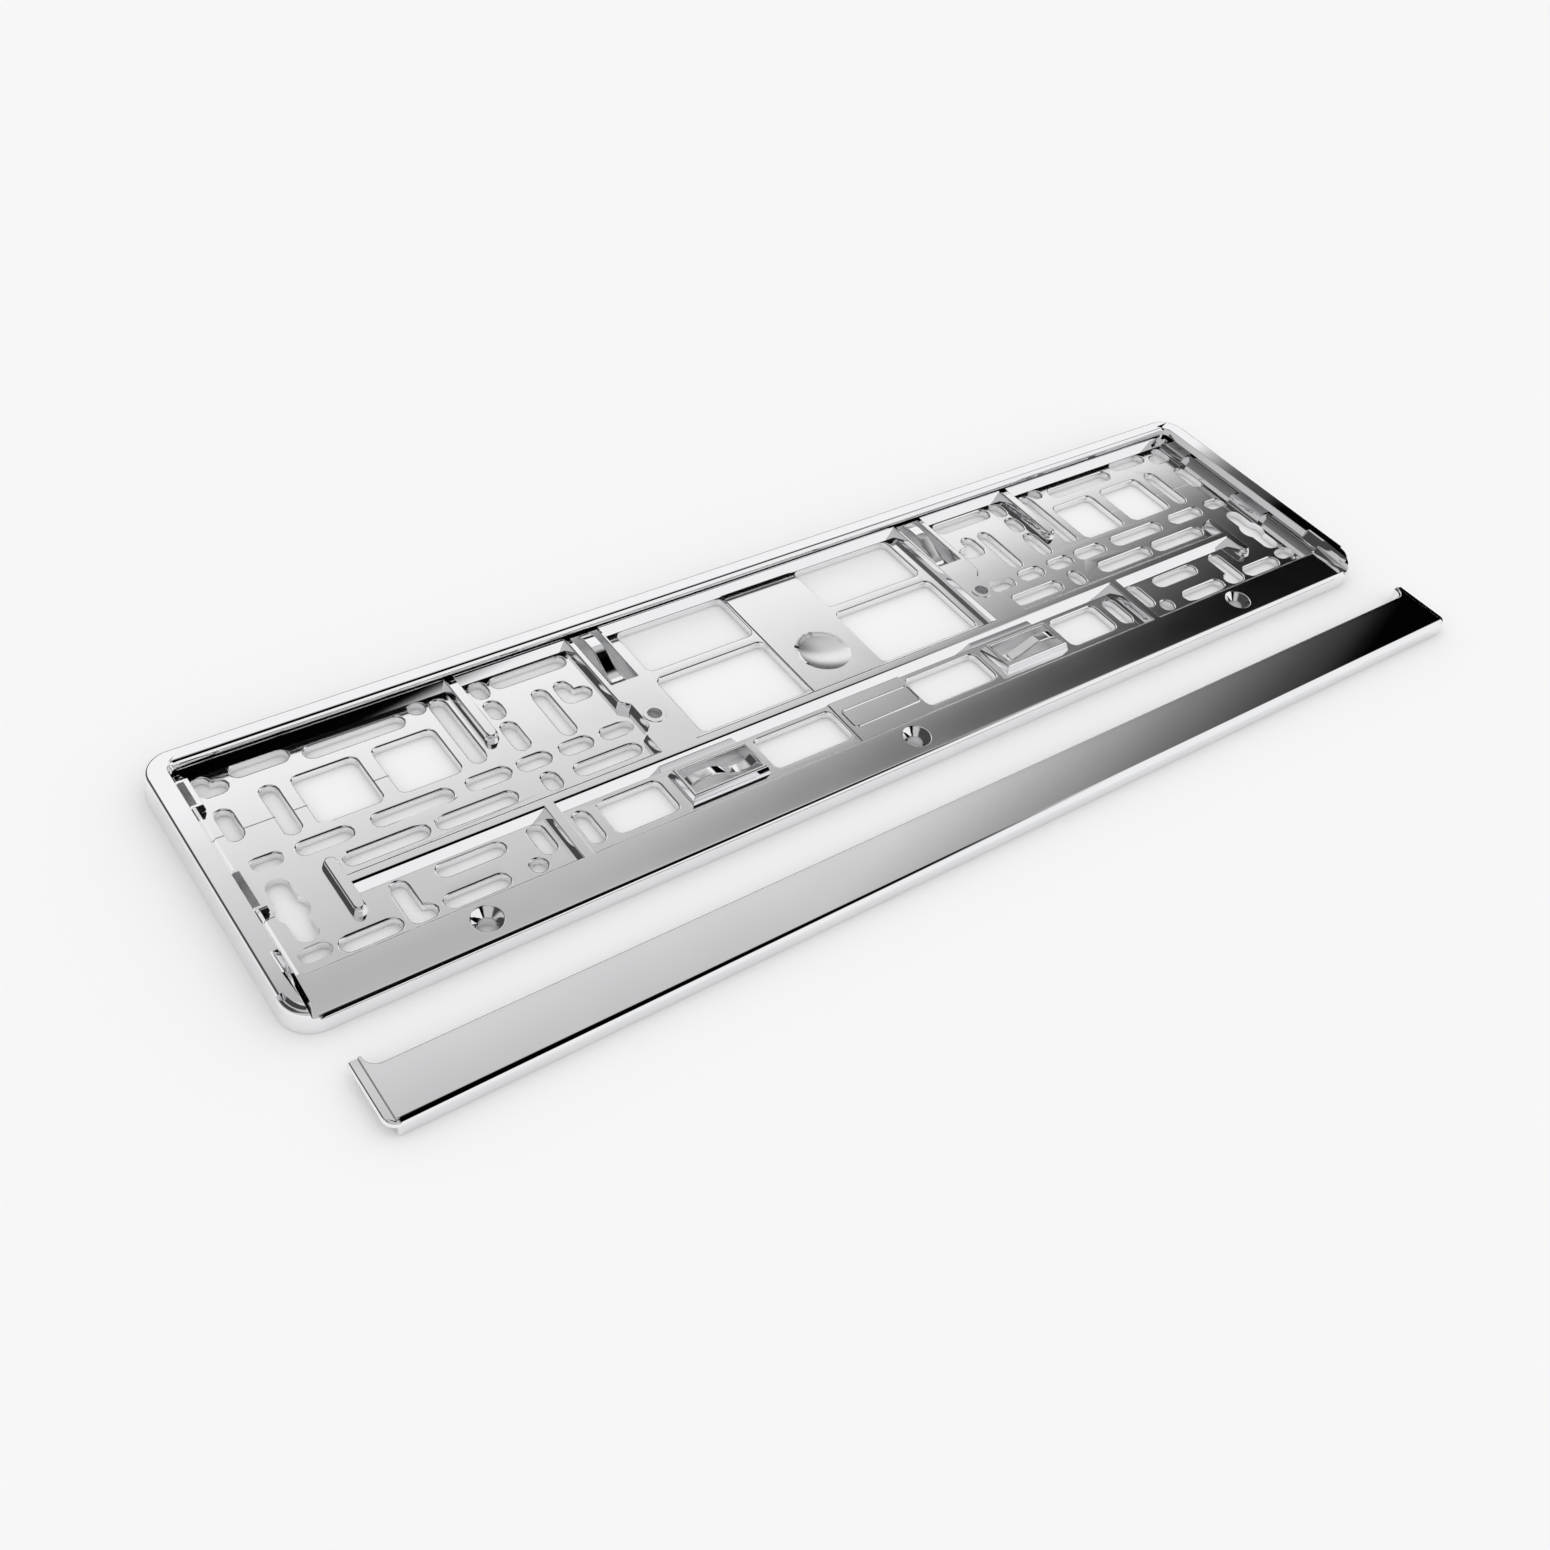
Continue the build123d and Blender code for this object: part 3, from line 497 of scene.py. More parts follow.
@dataclass
class PlatedShell:
    """A CAD node's plated skin: its merged mesh with its sharp outer edges rounded over.

    Attributes:
        name: The piece's name.
        node: The CAD node that the piece stands in for.
        slot: The colour slot's name; not used.
        rounding: Width of the rounded edges.
        floor_rounding: Width of the rounded edges at the floor's level.
        zones: The finish of each surface zone.
        floor_top: Height under which a face that looks up is floor.
        band_top: Height under which a face that looks up is screw band.
        band_base: Height over which that holds, and under which a face that looks down is back.
        back_top: Height under which every edge stays sharp.
        facing_limit: Upright part of the normal of a face that looks up or down.
        weld: Distance within which the node's loose corners join.
        flat_angle: Turn under which two faces lie in one plane, in degrees.
        sharp_angle: Turn over which an edge is sharp, in degrees.
        crease_angle: Turn under which two faces shade as one, in degrees.
        bend_angle: The same for two broad faces, in degrees.
        broad_width: Area per length of outline over which a face is broad.
        room_share: Share of an edge's room that its rounding may take.
        rays: Number of rays that measure an edge's room.
        open_room: Room of an edge whose rays meet nothing.
        least_room: Distance under which a ray has met nothing yet.
        segments: Number of strips across a rounded edge.
        crisp: Places where edges take less rounding.
    """

    name: str
    node: str
    slot: str
    rounding: float
    floor_rounding: float
    zones: dict[Zone, PlatingFinish]
    floor_top: float = 4.2 * MM
    band_top: float = 7.4 * MM
    band_base: float = 6.6 * MM
    back_top: float = 0.3 * MM
    facing_limit: float = 0.6
    weld: float = 2.0 * MICRON
    flat_angle: float = 0.3
    sharp_angle: float = 33.0
    crease_angle: float = 36.0
    bend_angle: float = 14.0
    broad_width: float = 0.4 * MM
    room_share: float = 0.34
    rays: int = 15
    open_room: float = 1.0
    least_room: float = 1.0 * MICRON
    segments: int = 3
    crisp: tuple[CrispPlace, ...] = ()

    def merged_mesh(self) -> bpy.types.Mesh:
        """Merge a copy of the node's loose triangles and join those that lie in one plane.

        Returns:
            The closed mesh.
        """
        flat = math.radians(self.flat_angle)
        work = bmesh.new()
        work.from_mesh(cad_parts[self.node].data)
        bmesh.ops.remove_doubles(work, verts=work.verts, dist=self.weld)
        bmesh.ops.dissolve_degenerate(work, edges=work.edges, dist=self.weld / 2)
        bmesh.ops.dissolve_limit(work, angle_limit=flat, verts=work.verts, edges=work.edges)
        mesh = bpy.data.meshes.new(self.name)
        work.to_mesh(mesh)
        work.free()
        return mesh

    def zone_of_faces(self, mesh: bpy.types.Mesh) -> np.ndarray:
        """Sort faces into zones by their height and the way they face.

        Args:
            mesh: The merged mesh.

        Returns:
            The zone value of each face.
        """
        count = len(mesh.polygons)
        upright = read_array(mesh.polygons, "normal", (count, 3))[:, 2]
        height = read_array(mesh.polygons, "center", (count, 3))[:, 2]
        up, down = upright > self.facing_limit, upright < -self.facing_limit
        zone = np.full(count, Zone.RIM.value)
        zone[up & (height > self.band_base) & (height < self.band_top)] = Zone.BAND.value
        zone[up & (height < self.floor_top)] = Zone.FLOOR.value
        zone[down & (height < self.band_base)] = Zone.BACK.value
        return zone

    def edge_rounding(self, mesh: bpy.types.Mesh) -> np.ndarray:
        """Work out how much of the widest rounding each edge takes.

        An edge is sharp where the normals of its two faces differ by more than the sharp angle, and hollow
        where the second face's normal leans into the first face. A sharp edge takes the rounding of its
        level, but no more than a share of its room, less at a place that stays crisp, and none where it is
        hollow or lies on the back face.

        Args:
            mesh: The merged mesh.

        Returns:
            A share from 0 to 1 for each edge.
        """
        read = MeshArrays.of(mesh)
        tail, head = read.point[read.corner], read.point[read.corner[read.following]]
        inward = unit(np.cross(read.normal[read.face], head - tail))
        order = np.argsort(read.edge, kind="stable")
        one, two = order[0::2], order[1::2]
        first, second = read.normal[read.face[one]], read.normal[read.face[two]]
        hollow = dot(second, inward[one]) > 0
        sharp = np.zeros(len(mesh.loops), dtype=bool)
        sharp[one] = sharp[two] = dot(first, second) < math.cos(math.radians(self.sharp_angle))
        reach = self.room_of_loops(read, tail, head, inward, sharp)
        middle = (tail[one] + head[one]) / 2
        width = np.where(middle[:, 2] < self.floor_top, self.floor_rounding, self.rounding)
        width = np.minimum(width, self.room_share * np.minimum(reach[one], reach[two]))
        share = width / max(self.rounding, self.floor_rounding)
        share[hollow | (middle[:, 2] < self.back_top)] = 0.0
        for place in self.crisp:
            held = place.holds(middle)
            share[held] = np.minimum(share[held], place.share)
        result = np.zeros(len(mesh.edges))
        result[read.edge[one]] = np.where(sharp[one], share, 0.0)
        return result

    def room_of_loops(
        self, read: MeshArrays, tail: np.ndarray, head: np.ndarray, inward: np.ndarray, sharp: np.ndarray
    ) -> np.ndarray:
        """Measure how far each face reaches away from each of its edges.

        Rays leave evenly spaced points of an edge across its face, square to the edge. Where the two
        ends of another sharp edge of the face lie on both sides of a ray, the ray meets that edge at
        the distance found by dividing the edge in the ratio of its ends' offsets. The room is the
        shortest such distance.

        Args:
            read: The mesh's arrays.
            tail: The first end of each loop's edge.
            head: The second end of each loop's edge.
            inward: The unit direction from the edge across its face.
            sharp: Whether the loop's edge is sharp.

        Returns:
            The room of each loop's edge, in metres.
        """
        no_gap = 1e-12
        room = np.full(len(tail), self.open_room)
        source = np.flatnonzero(sharp)
        spread = read.total[read.face[source]]
        owner = np.repeat(source, spread)
        first, other = runs(read.start[read.face[source]], spread)
        along = unit(head - tail)
        for place in (np.arange(self.rays) + 0.5) / self.rays:
            root = tail[owner] + place * (head[owner] - tail[owner])
            off_tail, far_tail = (dot(tail[other] - root, way[owner]) for way in (along, inward))
            off_head, far_head = (dot(head[other] - root, way[owner]) for way in (along, inward))
            gap = off_tail - off_head
            ratio = off_tail / np.where(np.abs(gap) < no_gap, no_gap, gap)
            far = far_tail + ratio * (far_head - far_tail)
            met = (off_tail * off_head < 0) & (far > self.least_room) & sharp[other]
            nearest = np.minimum.reduceat(np.where(met, far, self.open_room), first)
            room[source] = np.minimum(room[source], nearest)
        return room

    def corner_normals(self, mesh: bpy.types.Mesh) -> np.ndarray:
        """Work out each corner's normal: the mean of the faces around it that turn little from its own.

        The mean is weighted by area, so flats stay flat and the rounded edges run into them. A face is
        broad where its area per length of outline is large. Between two broad faces the turn allowed is
        the bend angle, otherwise the crease angle.

        Args:
            mesh: The rounded mesh.

        Returns:
            A unit normal for each corner.
        """
        own_weight = 1e-12
        read = MeshArrays.of(mesh)
        point = read.point[read.corner]
        outline = np.add.reduceat(np.linalg.norm(point[read.following] - point, axis=1), read.start)
        broad = read.area / outline > self.broad_width
        order = np.argsort(read.corner, kind="stable")
        around = np.bincount(read.corner, minlength=len(read.point))
        begin = np.cumsum(around) - around
        spread = around[read.corner]
        first, other = runs(begin[read.corner], spread)
        own, near = np.repeat(read.face, spread), read.face[order[other]]
        turn = dot(read.normal[own], read.normal[near])
        allowed = np.where(broad[own] & broad[near], self.bend_angle, self.crease_angle)
        weight = np.where(turn > np.cos(np.radians(allowed)), read.area[near], 0.0)
        total = np.add.reduceat(weight[:, None] * read.normal[near], first)
        return unit(total + read.normal[read.face] * own_weight)

    def triangle_mesh(self, rounded: bpy.types.Mesh) -> bpy.types.Mesh:
        """Split the rounded mesh into triangles that keep its finishes and take even corner normals.

        A triangle's own normal is the cross product of two of its sides. Where it points against its face,
        the face has folded over itself at a narrow web, and the triangle is left out.

        Args:
            rounded: The rounded mesh.

        Returns:
            The triangle mesh.
        """
        rounded.calc_loop_triangles()
        faces, count = len(rounded.polygons), len(rounded.loop_triangles)
        point = read_array(rounded.vertices, "co", (len(rounded.vertices), 3))
        normal = read_array(rounded.polygons, "normal", (faces, 3))
        finish = read_array(rounded.polygons, "material_index", (faces,), np.int32)
        corner = read_array(rounded.loop_triangles, "vertices", (count, 3), np.int32)
        loop = read_array(rounded.loop_triangles, "loops", (count, 3), np.int32)
        face = read_array(rounded.loop_triangles, "polygon_index", (count,), np.int32)
        first, second, third = point[corner[:, 0]], point[corner[:, 1]], point[corner[:, 2]]
        kept = dot(np.cross(second - first, third - first), normal[face]) > 0.0
        mesh = bpy.data.meshes.new(self.name)
        mesh.from_pydata(point.tolist(), [], corner[kept].tolist())
        for material in rounded.materials:
            mesh.materials.append(material)
        mesh.polygons.foreach_set("material_index", finish[face[kept]])
        mesh.polygons.foreach_set("use_smooth", np.ones(len(mesh.polygons), dtype=bool))
        mesh.normals_split_custom_set(self.corner_normals(rounded)[loop[kept].ravel()])
        return mesh

    def build(self) -> bpy.types.Object:
        """Make the piece, give each zone its finish and stand it in for the CAD node.

        Returns:
            The shown piece.
        """
        mesh = self.merged_mesh()
        finish_of_zone = np.zeros(len(Zone), dtype=np.int32)
        for zone in Zone:
            if zone in self.zones:
                finish_of_zone[zone.value] = len(mesh.materials)
                mesh.materials.append(shared_material(self.zones[zone]))
        mesh.polygons.foreach_set("material_index", finish_of_zone[self.zone_of_faces(mesh)])
        weight = mesh.attributes.new("bevel_weight_edge", "FLOAT", "EDGE")
        weight.data.foreach_set("value", self.edge_rounding(mesh).astype(np.float32))
        piece = bpy.data.objects.new(self.name, mesh)
        bpy.context.scene.collection.objects.link(piece)
        soften = piece.modifiers.new("rounded_edges", "BEVEL")
        soften.width = max(self.rounding, self.floor_rounding)
        soften.segments = self.segments
        soften.limit_method = "WEIGHT"
        soften.use_clamp_overlap = False
        shown = piece.evaluated_get(bpy.context.evaluated_depsgraph_get())
        rounded = bpy.data.meshes.new_from_object(shown)
        piece.modifiers.remove(soften)
        piece.data = self.triangle_mesh(rounded)
        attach(piece, BODY)
        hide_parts(self.node)
        return piece


def surface(
    name: str, grid: np.ndarray, finish: PlatingFinish, closed: bool
) -> bpy.types.Object:
    """Make a smooth piece from rows of points.

    Seen from outside, the columns run to the left of the way the rows follow each other.

    Args:
        name: The piece's name.
        grid: Points in metres, by row and column.
        finish: The plating finish.
        closed: Whether the last row joins the first.

    Returns:
        The shown piece.
    """
    rows, columns = grid.shape[:2]
    index = np.arange(rows * columns).reshape(rows, columns)
    ahead = np.roll(index, -1, axis=0)
    if not closed:
        index, ahead = index[:-1], ahead[:-1]
    quads = np.stack([index[:, :-1], ahead[:, :-1], ahead[:, 1:], index[:, 1:]], axis=-1).reshape(-1, 4)
    mesh = bpy.data.meshes.new(name)
    mesh.from_pydata(grid.reshape(-1, 3).tolist(), [], quads.tolist())
    mesh.polygons.foreach_set("use_smooth", np.ones(len(quads), dtype=bool))
    mesh.materials.append(shared_material(finish))
    piece = bpy.data.objects.new(name, mesh)
    bpy.context.scene.collection.objects.link(piece)
    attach(piece, BODY)
    return piece


@dataclass(frozen=True)
class Bead:
    """A low rounded ridge, swept along a path on a flat face at height base and sunk a little into it."""

    width: float
    height: float
    base: float
    sink: float = 0.02 * MM
    columns: int = 9

    def sweep(self, path: np.ndarray, left: np.ndarray) -> np.ndarray:
        """Sweep the ridge's section along the path.

        The section is one arch of a cosine: height times the cosine of a quarter turn at each side, less
        the depth by which it sinks into the face.

        Args:
            path: The path's points in plan.
            left: The unit direction to the left of the path at each point.

        Returns:
            The grid of points, by place along the path and across the ridge.
        """
        across = np.linspace(-1.0, 1.0, self.columns)
        flat = path[:, None, :] + left[:, None, :] * (across * self.width / 2)[None, :, None]
        rise = self.base - self.sink + self.height * np.cos(across * math.pi / 2)
        return np.concatenate([flat, np.broadcast_to(rise, flat.shape[:2])[..., None]], axis=2)


@dataclass
class PlateFrame:
    """The frame that holds the plate.

    It has a shallow dish and a bare tablet on its middle pad, and mould lines at both ends of its floor. A
    mould line is given by its inner X, its outer X and its Y, and stands at both ends.
    """

    slot: str = "frame_chrome"
    rounding: float = 0.8 * MM
    floor_rounding: float = 0.9 * MM
    screw_recess: CrispPlace = CrispPlace(190.4 * MM, -54.5 * MM, 7.0 * MM, 7.0 * MM, 0.3)
    middle_recess: CrispPlace = CrispPlace(0.0, -54.5 * MM, 7.0 * MM, 7.0 * MM, 0.3)
    lip_end: CrispPlace = CrispPlace(257.0 * MM, -57.5 * MM, 11.0 * MM, 9.0 * MM, 0.0)
    lip_foot: CrispPlace = CrispPlace(254.5 * MM, 19.0 * MM, 6.0 * MM, 38.0 * MM, 0.15)
    end_slots: CrispPlace = CrispPlace(243.3 * MM, -10.0 * MM, 9.0 * MM, 17.0 * MM, 0.0)
    cross_bar: CrispPlace = CrispPlace(86.0 * MM, 10.0 * MM, 10.0 * MM, 24.0 * MM, 0.1)
    waisted_slot: CrispPlace = CrispPlace(245.5 * MM, -36.0 * MM, 9.0 * MM, 12.0 * MM, 0.25)
    pad_top: float = 3.7 * MM
    floor_level: float = 3.2 * MM
    dish_centre: tuple[float, float] = (0.0, 7.0 * MM)
    dish_radius: float = 12.0 * MM
    dish_depth: float = 1.72 * MM
    dish_hub: float = 0.01
    dish_spokes: int = 96
    dish_rings: int = 24
    tablet_centre: tuple[float, float] = (1.0 * MM, -31.5 * MM)
    tablet_half_length: float = 17.0 * MM
    tablet_half_width: float = 5.0 * MM
    tablet_corner: float = 1.8 * MM
    tablet_width: float = 1.1 * MM
    tablet_height: float = 0.45 * MM
    tablet_points: int = 64
    witness_width: float = 0.5 * MM
    witness_height: float = 0.12 * MM
    witness_points: int = 5
    witness_lines: tuple[tuple[float, float, float], ...] = (
        (249.3 * MM, 252.4 * MM, 24.5 * MM),
        (230.8 * MM, 242.2 * MM, 24.5 * MM),
        (218.8 * MM, 224.2 * MM, 24.5 * MM),
        (187.3 * MM, 193.2 * MM, 24.5 * MM),
        (249.3 * MM, 252.4 * MM, -17.0 * MM),
    )

    def skin(self) -> bpy.types.Object:
        """Make the moulding's plated skin.

        Returns:
            The shown piece.
        """
        shell = PlatedShell(
            "frame_skin",
            "plate_frame",
            self.slot,
            self.rounding,
            self.floor_rounding,
            {
                Zone.RIM: Finishes.RIM,
                Zone.BAND: Finishes.BAND,
                Zone.FLOOR: Finishes.FLOOR,
                Zone.BACK: Finishes.BACK,
            },
            crisp=(
                self.screw_recess,
                self.middle_recess,
                self.lip_end,
                self.lip_foot,
                self.end_slots,
                self.cross_bar,
                self.waisted_slot,
            ),
        )
        return shell.build()

    def dish(self) -> bpy.types.Object:
        """Make the shallow round dish of the middle pad.

        A point at angle a and share s of the radius lies at the centre plus s times the radius along a, and
        its height is the pad's top less the depth times one minus s squared.

        Returns:
            The shown piece.
        """
        angle = np.linspace(0.0, FULL_TURN, self.dish_spokes, endpoint=False)[:, None]
        share = np.linspace(1.0, self.dish_hub, self.dish_rings)[None, :]
        x = self.dish_centre[0] + self.dish_radius * share * np.cos(angle)
        y = self.dish_centre[1] + self.dish_radius * share * np.sin(angle)
        z = np.broadcast_to(self.pad_top - self.dish_depth * (1.0 - share**2), x.shape)
        return surface("middle_dish", np.stack([x, y, z], axis=2), Finishes.DISH, True)

    def tablet(self) -> bpy.types.Object:
        """Make the raised outline of the bare tablet on the middle pad.

        At angle a the path lies at the corner centre of a's quarter plus the corner radius along a, which
        leaves a straight side between two quarters.

        Returns:
            The shown piece.
        """
        angle = (np.arange(self.tablet_points) + 0.5) / self.tablet_points * FULL_TURN
        way = np.column_stack([np.cos(angle), np.sin(angle)])
        core = np.array([self.tablet_half_length, self.tablet_half_width]) - self.tablet_corner
        path = np.array(self.tablet_centre) + np.sign(way) * core + way * self.tablet_corner
        bead = Bead(self.tablet_width, self.tablet_height, self.pad_top)
        return surface("tablet_outline", bead.sweep(path, -way), Finishes.BAND, True)

    def witness(self) -> list[bpy.types.Object]:
        """Make the hair-thin mould lines at both ends of the floor.

        A line's points are evenly spaced from its low X to its high X, at its Y.

        Returns:
            The shown pieces.
        """
        bead = Bead(self.witness_width, self.witness_height, self.floor_level)
        left = np.tile((0.0, 1.0), (self.witness_points, 1))
        pieces = []
        for number, (inner, outer, y) in enumerate(self.witness_lines, start=1):
            for side, (low, high) in (("left", (-outer, -inner)), ("right", (inner, outer))):
                x = np.linspace(low, high, self.witness_points)
                path = np.column_stack([x, np.full(self.witness_points, y)])
                name = f"witness_line_{side}_{number}"
                pieces.append(surface(name, bead.sweep(path, left), Finishes.FLOOR, False))
        return pieces

    def build(self) -> list[bpy.types.Object]:
        """Make the frame's pieces.

        Returns:
            The pieces in view.
        """
        return [self.skin(), self.dish(), self.tablet(), *self.witness()]


@dataclass
class RetainingStrip:
    """The clip-on strip that lies in front of the frame."""

    slot: str = "strip_chrome"
    rounding: float = 0.30 * MM

    def build(self) -> list[bpy.types.Object]:
        """Make the strip's pieces.

        Returns:
            The pieces in view.
        """
        skin = PlatedShell(
            "strip_skin",
            "retaining_strip",
            self.slot,
            self.rounding,
            self.rounding,
            {Zone.RIM: Finishes.STRIP, Zone.BACK: Finishes.BACK},
        )
        return [skin.build()]


@dataclass(frozen=True)
class PhotoView:
    """Camera at the photograph's viewing angle.

    The heading is turned from +Y toward +X, the dip is below the horizon and the roll is about the line of
    sight, all in degrees. The sensor and the lens are in millimetres.
    """

    name: str = "photo_camera"
    eye: tuple[float, float, float] = (-0.3704, -0.3666, 0.4434)
    heading: float = 43.735
    dip: float = 44.471
    roll: float = 11.189
    sensor: float = 36.0
    lens: float = 38.264
    nearest: float = 0.01
    farthest: float = 50.0

    def build(self) -> bpy.types.Object:
        """Place the camera.

        Returns:
            The scene's camera.
        """
        data = bpy.data.cameras.new(self.name)
        data.sensor_width = self.sensor
        data.lens = self.lens
        data.clip_start = self.nearest
        data.clip_end = self.farthest
        camera = bpy.data.objects.new(self.name, data)
        bpy.context.scene.collection.objects.link(camera)
        turn = Matrix.Rotation(math.radians(-self.heading), 4, "Z")
        tilt = Matrix.Rotation(math.radians(90.0 - self.dip), 4, "X")
        lean = Matrix.Rotation(math.radians(self.roll), 4, "Z")
        camera.matrix_world = Matrix.Translation(Vector(self.eye)) @ turn @ tilt @ lean
        bpy.context.scene.camera = camera
        return camera


@dataclass
class Studio:
    """Plain pale floor, soft even light, and the pale and dark sides of the room that the chrome mirrors.

    The room is laid out like a map on a ceiling one unit above the table: across and deep are a direction's
    X and Y per unit of height. The far side has a level that changes with depth and fades across the map,
    the near side is pale on the right and dark on the left, and the left end of the room is dark. Further
    out, behind the near side's left half and past the left end, the room is evenly pale, and so is a round
    patch overhead.
    """

    floor_name: str = "studio_floor"
    floor_size: float = 12.0
    floor_drop: float = 0.2 * MM
    floor_tone: float = 0.93
    floor_roughness: float = 0.9
    light_level: float = 1.0
    seen_level: float = 1.0
    least_rise: float = 1e-3
    level_by_depth: Stops = (
        (0.59, 0.59),
        (0.635, 0.69),
        (0.70, 0.46),
        (0.73, 0.51),
        (0.76, 0.61),
        (0.83, 0.71),
        (0.88, 0.80),
        (0.90, 0.88),
        (0.93, 0.96),
        (1.75, 0.96),
        (1.95, 0.003),
    )
    shift_by_depth: Stops = (
        (0.58, 0.05),
        (0.635, 0.19),
        (0.70, -0.12),
        (0.73, -0.02),
        (0.745, 0.10),
        (0.80, 0.15),
        (0.835, 0.31),
        (0.88, 0.37),
        (0.92, 0.66),
        (0.97, 1.20),
    )
    fade_across: Stops = (
        (0.57, 1.0),
        (0.67, 0.84),
        (0.76, 0.65),
        (0.85, 0.50),
        (0.94, 0.33),
        (1.03, 0.21),
        (1.12, 0.11),
        (1.19, 0.06),
        (1.24, 0.012),
        (1.27, 0.001),
    )
    near_side: tuple[float, float] = (0.68, 0.88)
    near_level: float = 0.92
    overhead: tuple[float, float] = (0.35, 0.05)
    left_end: tuple[float, float] = (-0.05, -0.35)
    left_level: float = 0.06
    behind: tuple[float, float] = (-0.35, -0.85)
    behind_left: tuple[float, float] = (0.18, -0.12)
    past_left: tuple[float, float] = (-2.0, -3.0)
    patch_place: tuple[float, float] = (-0.15, -0.05)
    patch_edge: tuple[float, float] = (0.42, 0.18)
    pale_level: float = 0.55

    def build_floor(self) -> bpy.types.Object:
        """Lay the floor.

        Returns:
            The floor.
        """
        half = self.floor_size / 2
        corners = np.array([(-half, -half), (half, -half), (half, half), (-half, half)])
        points = np.column_stack([corners, np.full(len(corners), -self.floor_drop)])
        mesh = bpy.data.meshes.new(self.floor_name)
        mesh.from_pydata(points.tolist(), [], [tuple(range(len(corners)))])
        floor = bpy.data.objects.new(self.floor_name, mesh)
        bpy.context.scene.collection.objects.link(floor)
        paint = bpy.data.materials.new("pale_floor")
        paint.use_nodes = True
        shader = paint.node_tree.nodes["Principled BSDF"]
        shader.inputs["Base Color"].default_value = (self.floor_tone, self.floor_tone, self.floor_tone, 1.0)
        shader.inputs["Roughness"].default_value = self.floor_roughness
        shader.inputs["Specular IOR Level"].default_value = 0.0
        mesh.materials.append(paint)
        return floor

    @staticmethod
    def ramp(tree: bpy.types.NodeTree, value: bpy.types.NodeSocket, stops: Stops) -> bpy.types.NodeSocket:
        """Chain straight ramps through the stops: the sum of each stretch's rise, clamped to its ends.

        Args:
            tree: The tree that takes the nodes.
            value: The socket to ramp.
            stops: Pairs of value and level, in rising order.

        Returns:
            The level at the value.
        """
        total: Level = stops[0][1]
        for (start, low), (end, high) in zip(stops, stops[1:]):
            node = tree.nodes.new("ShaderNodeMapRange")
            tree.links.new(value, node.inputs["Value"])
            node.inputs["From Min"].default_value = start
            node.inputs["From Max"].default_value = end
            node.inputs["To Max"].default_value = high - low
            total = math_node(tree, "ADD", total, node.outputs["Result"])
        return total

    def inner_room(
        self, tree: bpy.types.NodeTree, across: bpy.types.NodeSocket, deep: bpy.types.NodeSocket
    ) -> bpy.types.NodeSocket:
        """Lay out the far side, the near side and the left end of the room.

        Args:
            tree: The world's tree.
            across: The place across the map.
            deep: The depth on the map.

        Returns:
            The level at the place.
        """
        shift = self.ramp(tree, deep, self.shift_by_depth)
        fade = self.ramp(tree, math_node(tree, "SUBTRACT", across, shift), self.fade_across)
        beyond = math_node(tree, "MULTIPLY", fade, self.ramp(tree, deep, self.level_by_depth))
        near = math_node(tree, "MULTIPLY", smooth_step(tree, across, *self.near_side), self.near_level)
        middle = blend(tree, smooth_step(tree, deep, *self.overhead), beyond, near)
        return blend(tree, smooth_step(tree, across, *self.left_end), middle, self.left_level)

    def outer_room(
        self, tree: bpy.types.NodeTree, across: bpy.types.NodeSocket, deep: bpy.types.NodeSocket
    ) -> bpy.types.NodeSocket:
        """Lay out the pale parts further out and the round patch overhead.

        Args:
            tree: The world's tree.
            across: The place across the map.
            deep: The depth on the map.

        Returns:
            The level at the place.
        """
        far_back = smooth_step(tree, deep, *self.behind)
        behind = math_node(tree, "MULTIPLY", far_back, smooth_step(tree, across, *self.behind_left))
        beside = math_node(tree, "MAXIMUM", behind, smooth_step(tree, across, *self.past_left))
        aside = math_node(tree, "SUBTRACT", across, self.patch_place[0])
        ahead = math_node(tree, "SUBTRACT", deep, self.patch_place[1])
        square = math_node(tree, "MULTIPLY_ADD", aside, aside, math_node(tree, "MULTIPLY", ahead, ahead))
        patch = smooth_step(tree, math_node(tree, "SQRT", square), *self.patch_edge)
        outer = math_node(tree, "MAXIMUM", beside, patch)
        return math_node(tree, "MULTIPLY", outer, self.pale_level)

    def build_world(self) -> bpy.types.World:
        """Make the room.

        It is white to the camera and even light to matt surfaces, and the chrome sees its pale and dark
        sides.

        Returns:
            The scene's world.
        """
        world = bpy.data.worlds.new("studio_room")
        world.use_nodes = True
        tree = world.node_tree
        back = tree.nodes["Background"]
        back.inputs["Color"].default_value = WHITE
        place = tree.nodes.new("ShaderNodeTexCoord")
        parts = tree.nodes.new("ShaderNodeSeparateXYZ")
        tree.links.new(place.outputs["Generated"], parts.inputs["Vector"])
        rise = math_node(tree, "MAXIMUM", parts.outputs["Z"], self.least_rise)
        across = math_node(tree, "DIVIDE", parts.outputs["X"], rise)
        deep = math_node(tree, "DIVIDE", parts.outputs["Y"], rise)
        inner = self.inner_room(tree, across, deep)
        room = math_node(tree, "MAXIMUM", inner, self.outer_room(tree, across, deep))
        rays = tree.nodes.new("ShaderNodeLightPath")
        lit = blend(tree, rays.outputs["Is Glossy Ray"], self.light_level, room)
        seen = blend(tree, rays.outputs["Is Camera Ray"], lit, self.seen_level)
        tree.links.new(seen, back.inputs["Strength"])
        bpy.context.scene.world = world
        return world

    def build(self) -> None:
        """Set the stage and the view transform."""
        self.build_floor()
        self.build_world()
        bpy.context.scene.view_settings.view_transform = "Standard"


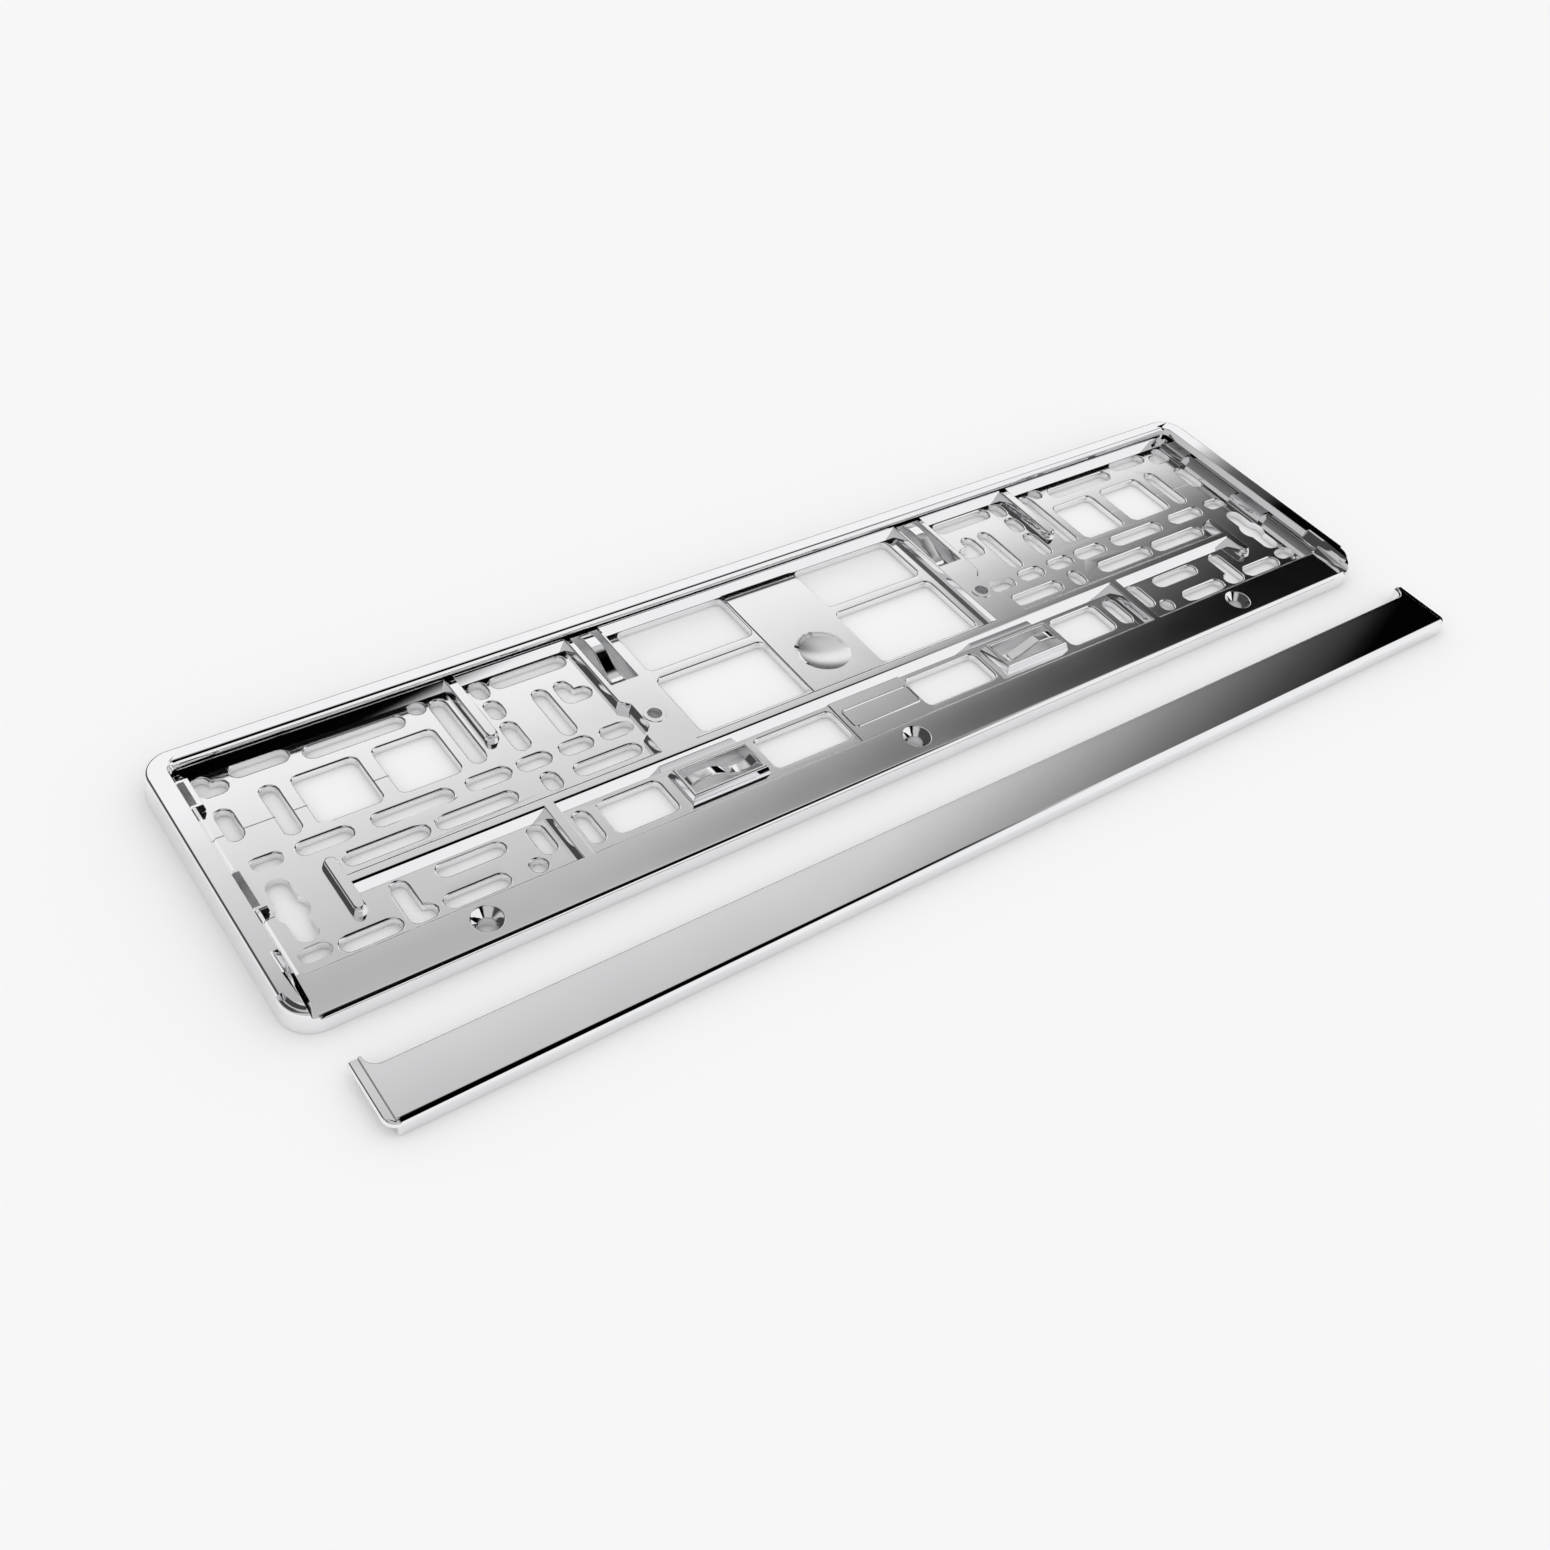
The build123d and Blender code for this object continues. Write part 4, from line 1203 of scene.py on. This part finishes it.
def main() -> None:
    """Build the holder, its stage and its view, and report each piece."""
    logging.basicConfig(level=logging.INFO, format="%(name)s: %(message)s")
    Studio().build()
    PhotoView().build()
    for assembly in (PlateFrame(), RetainingStrip()):
        for piece in assembly.build():
            LOG.info("%s: %d faces", piece.name, len(piece.data.polygons))


if __name__ == "__main__":
    main()
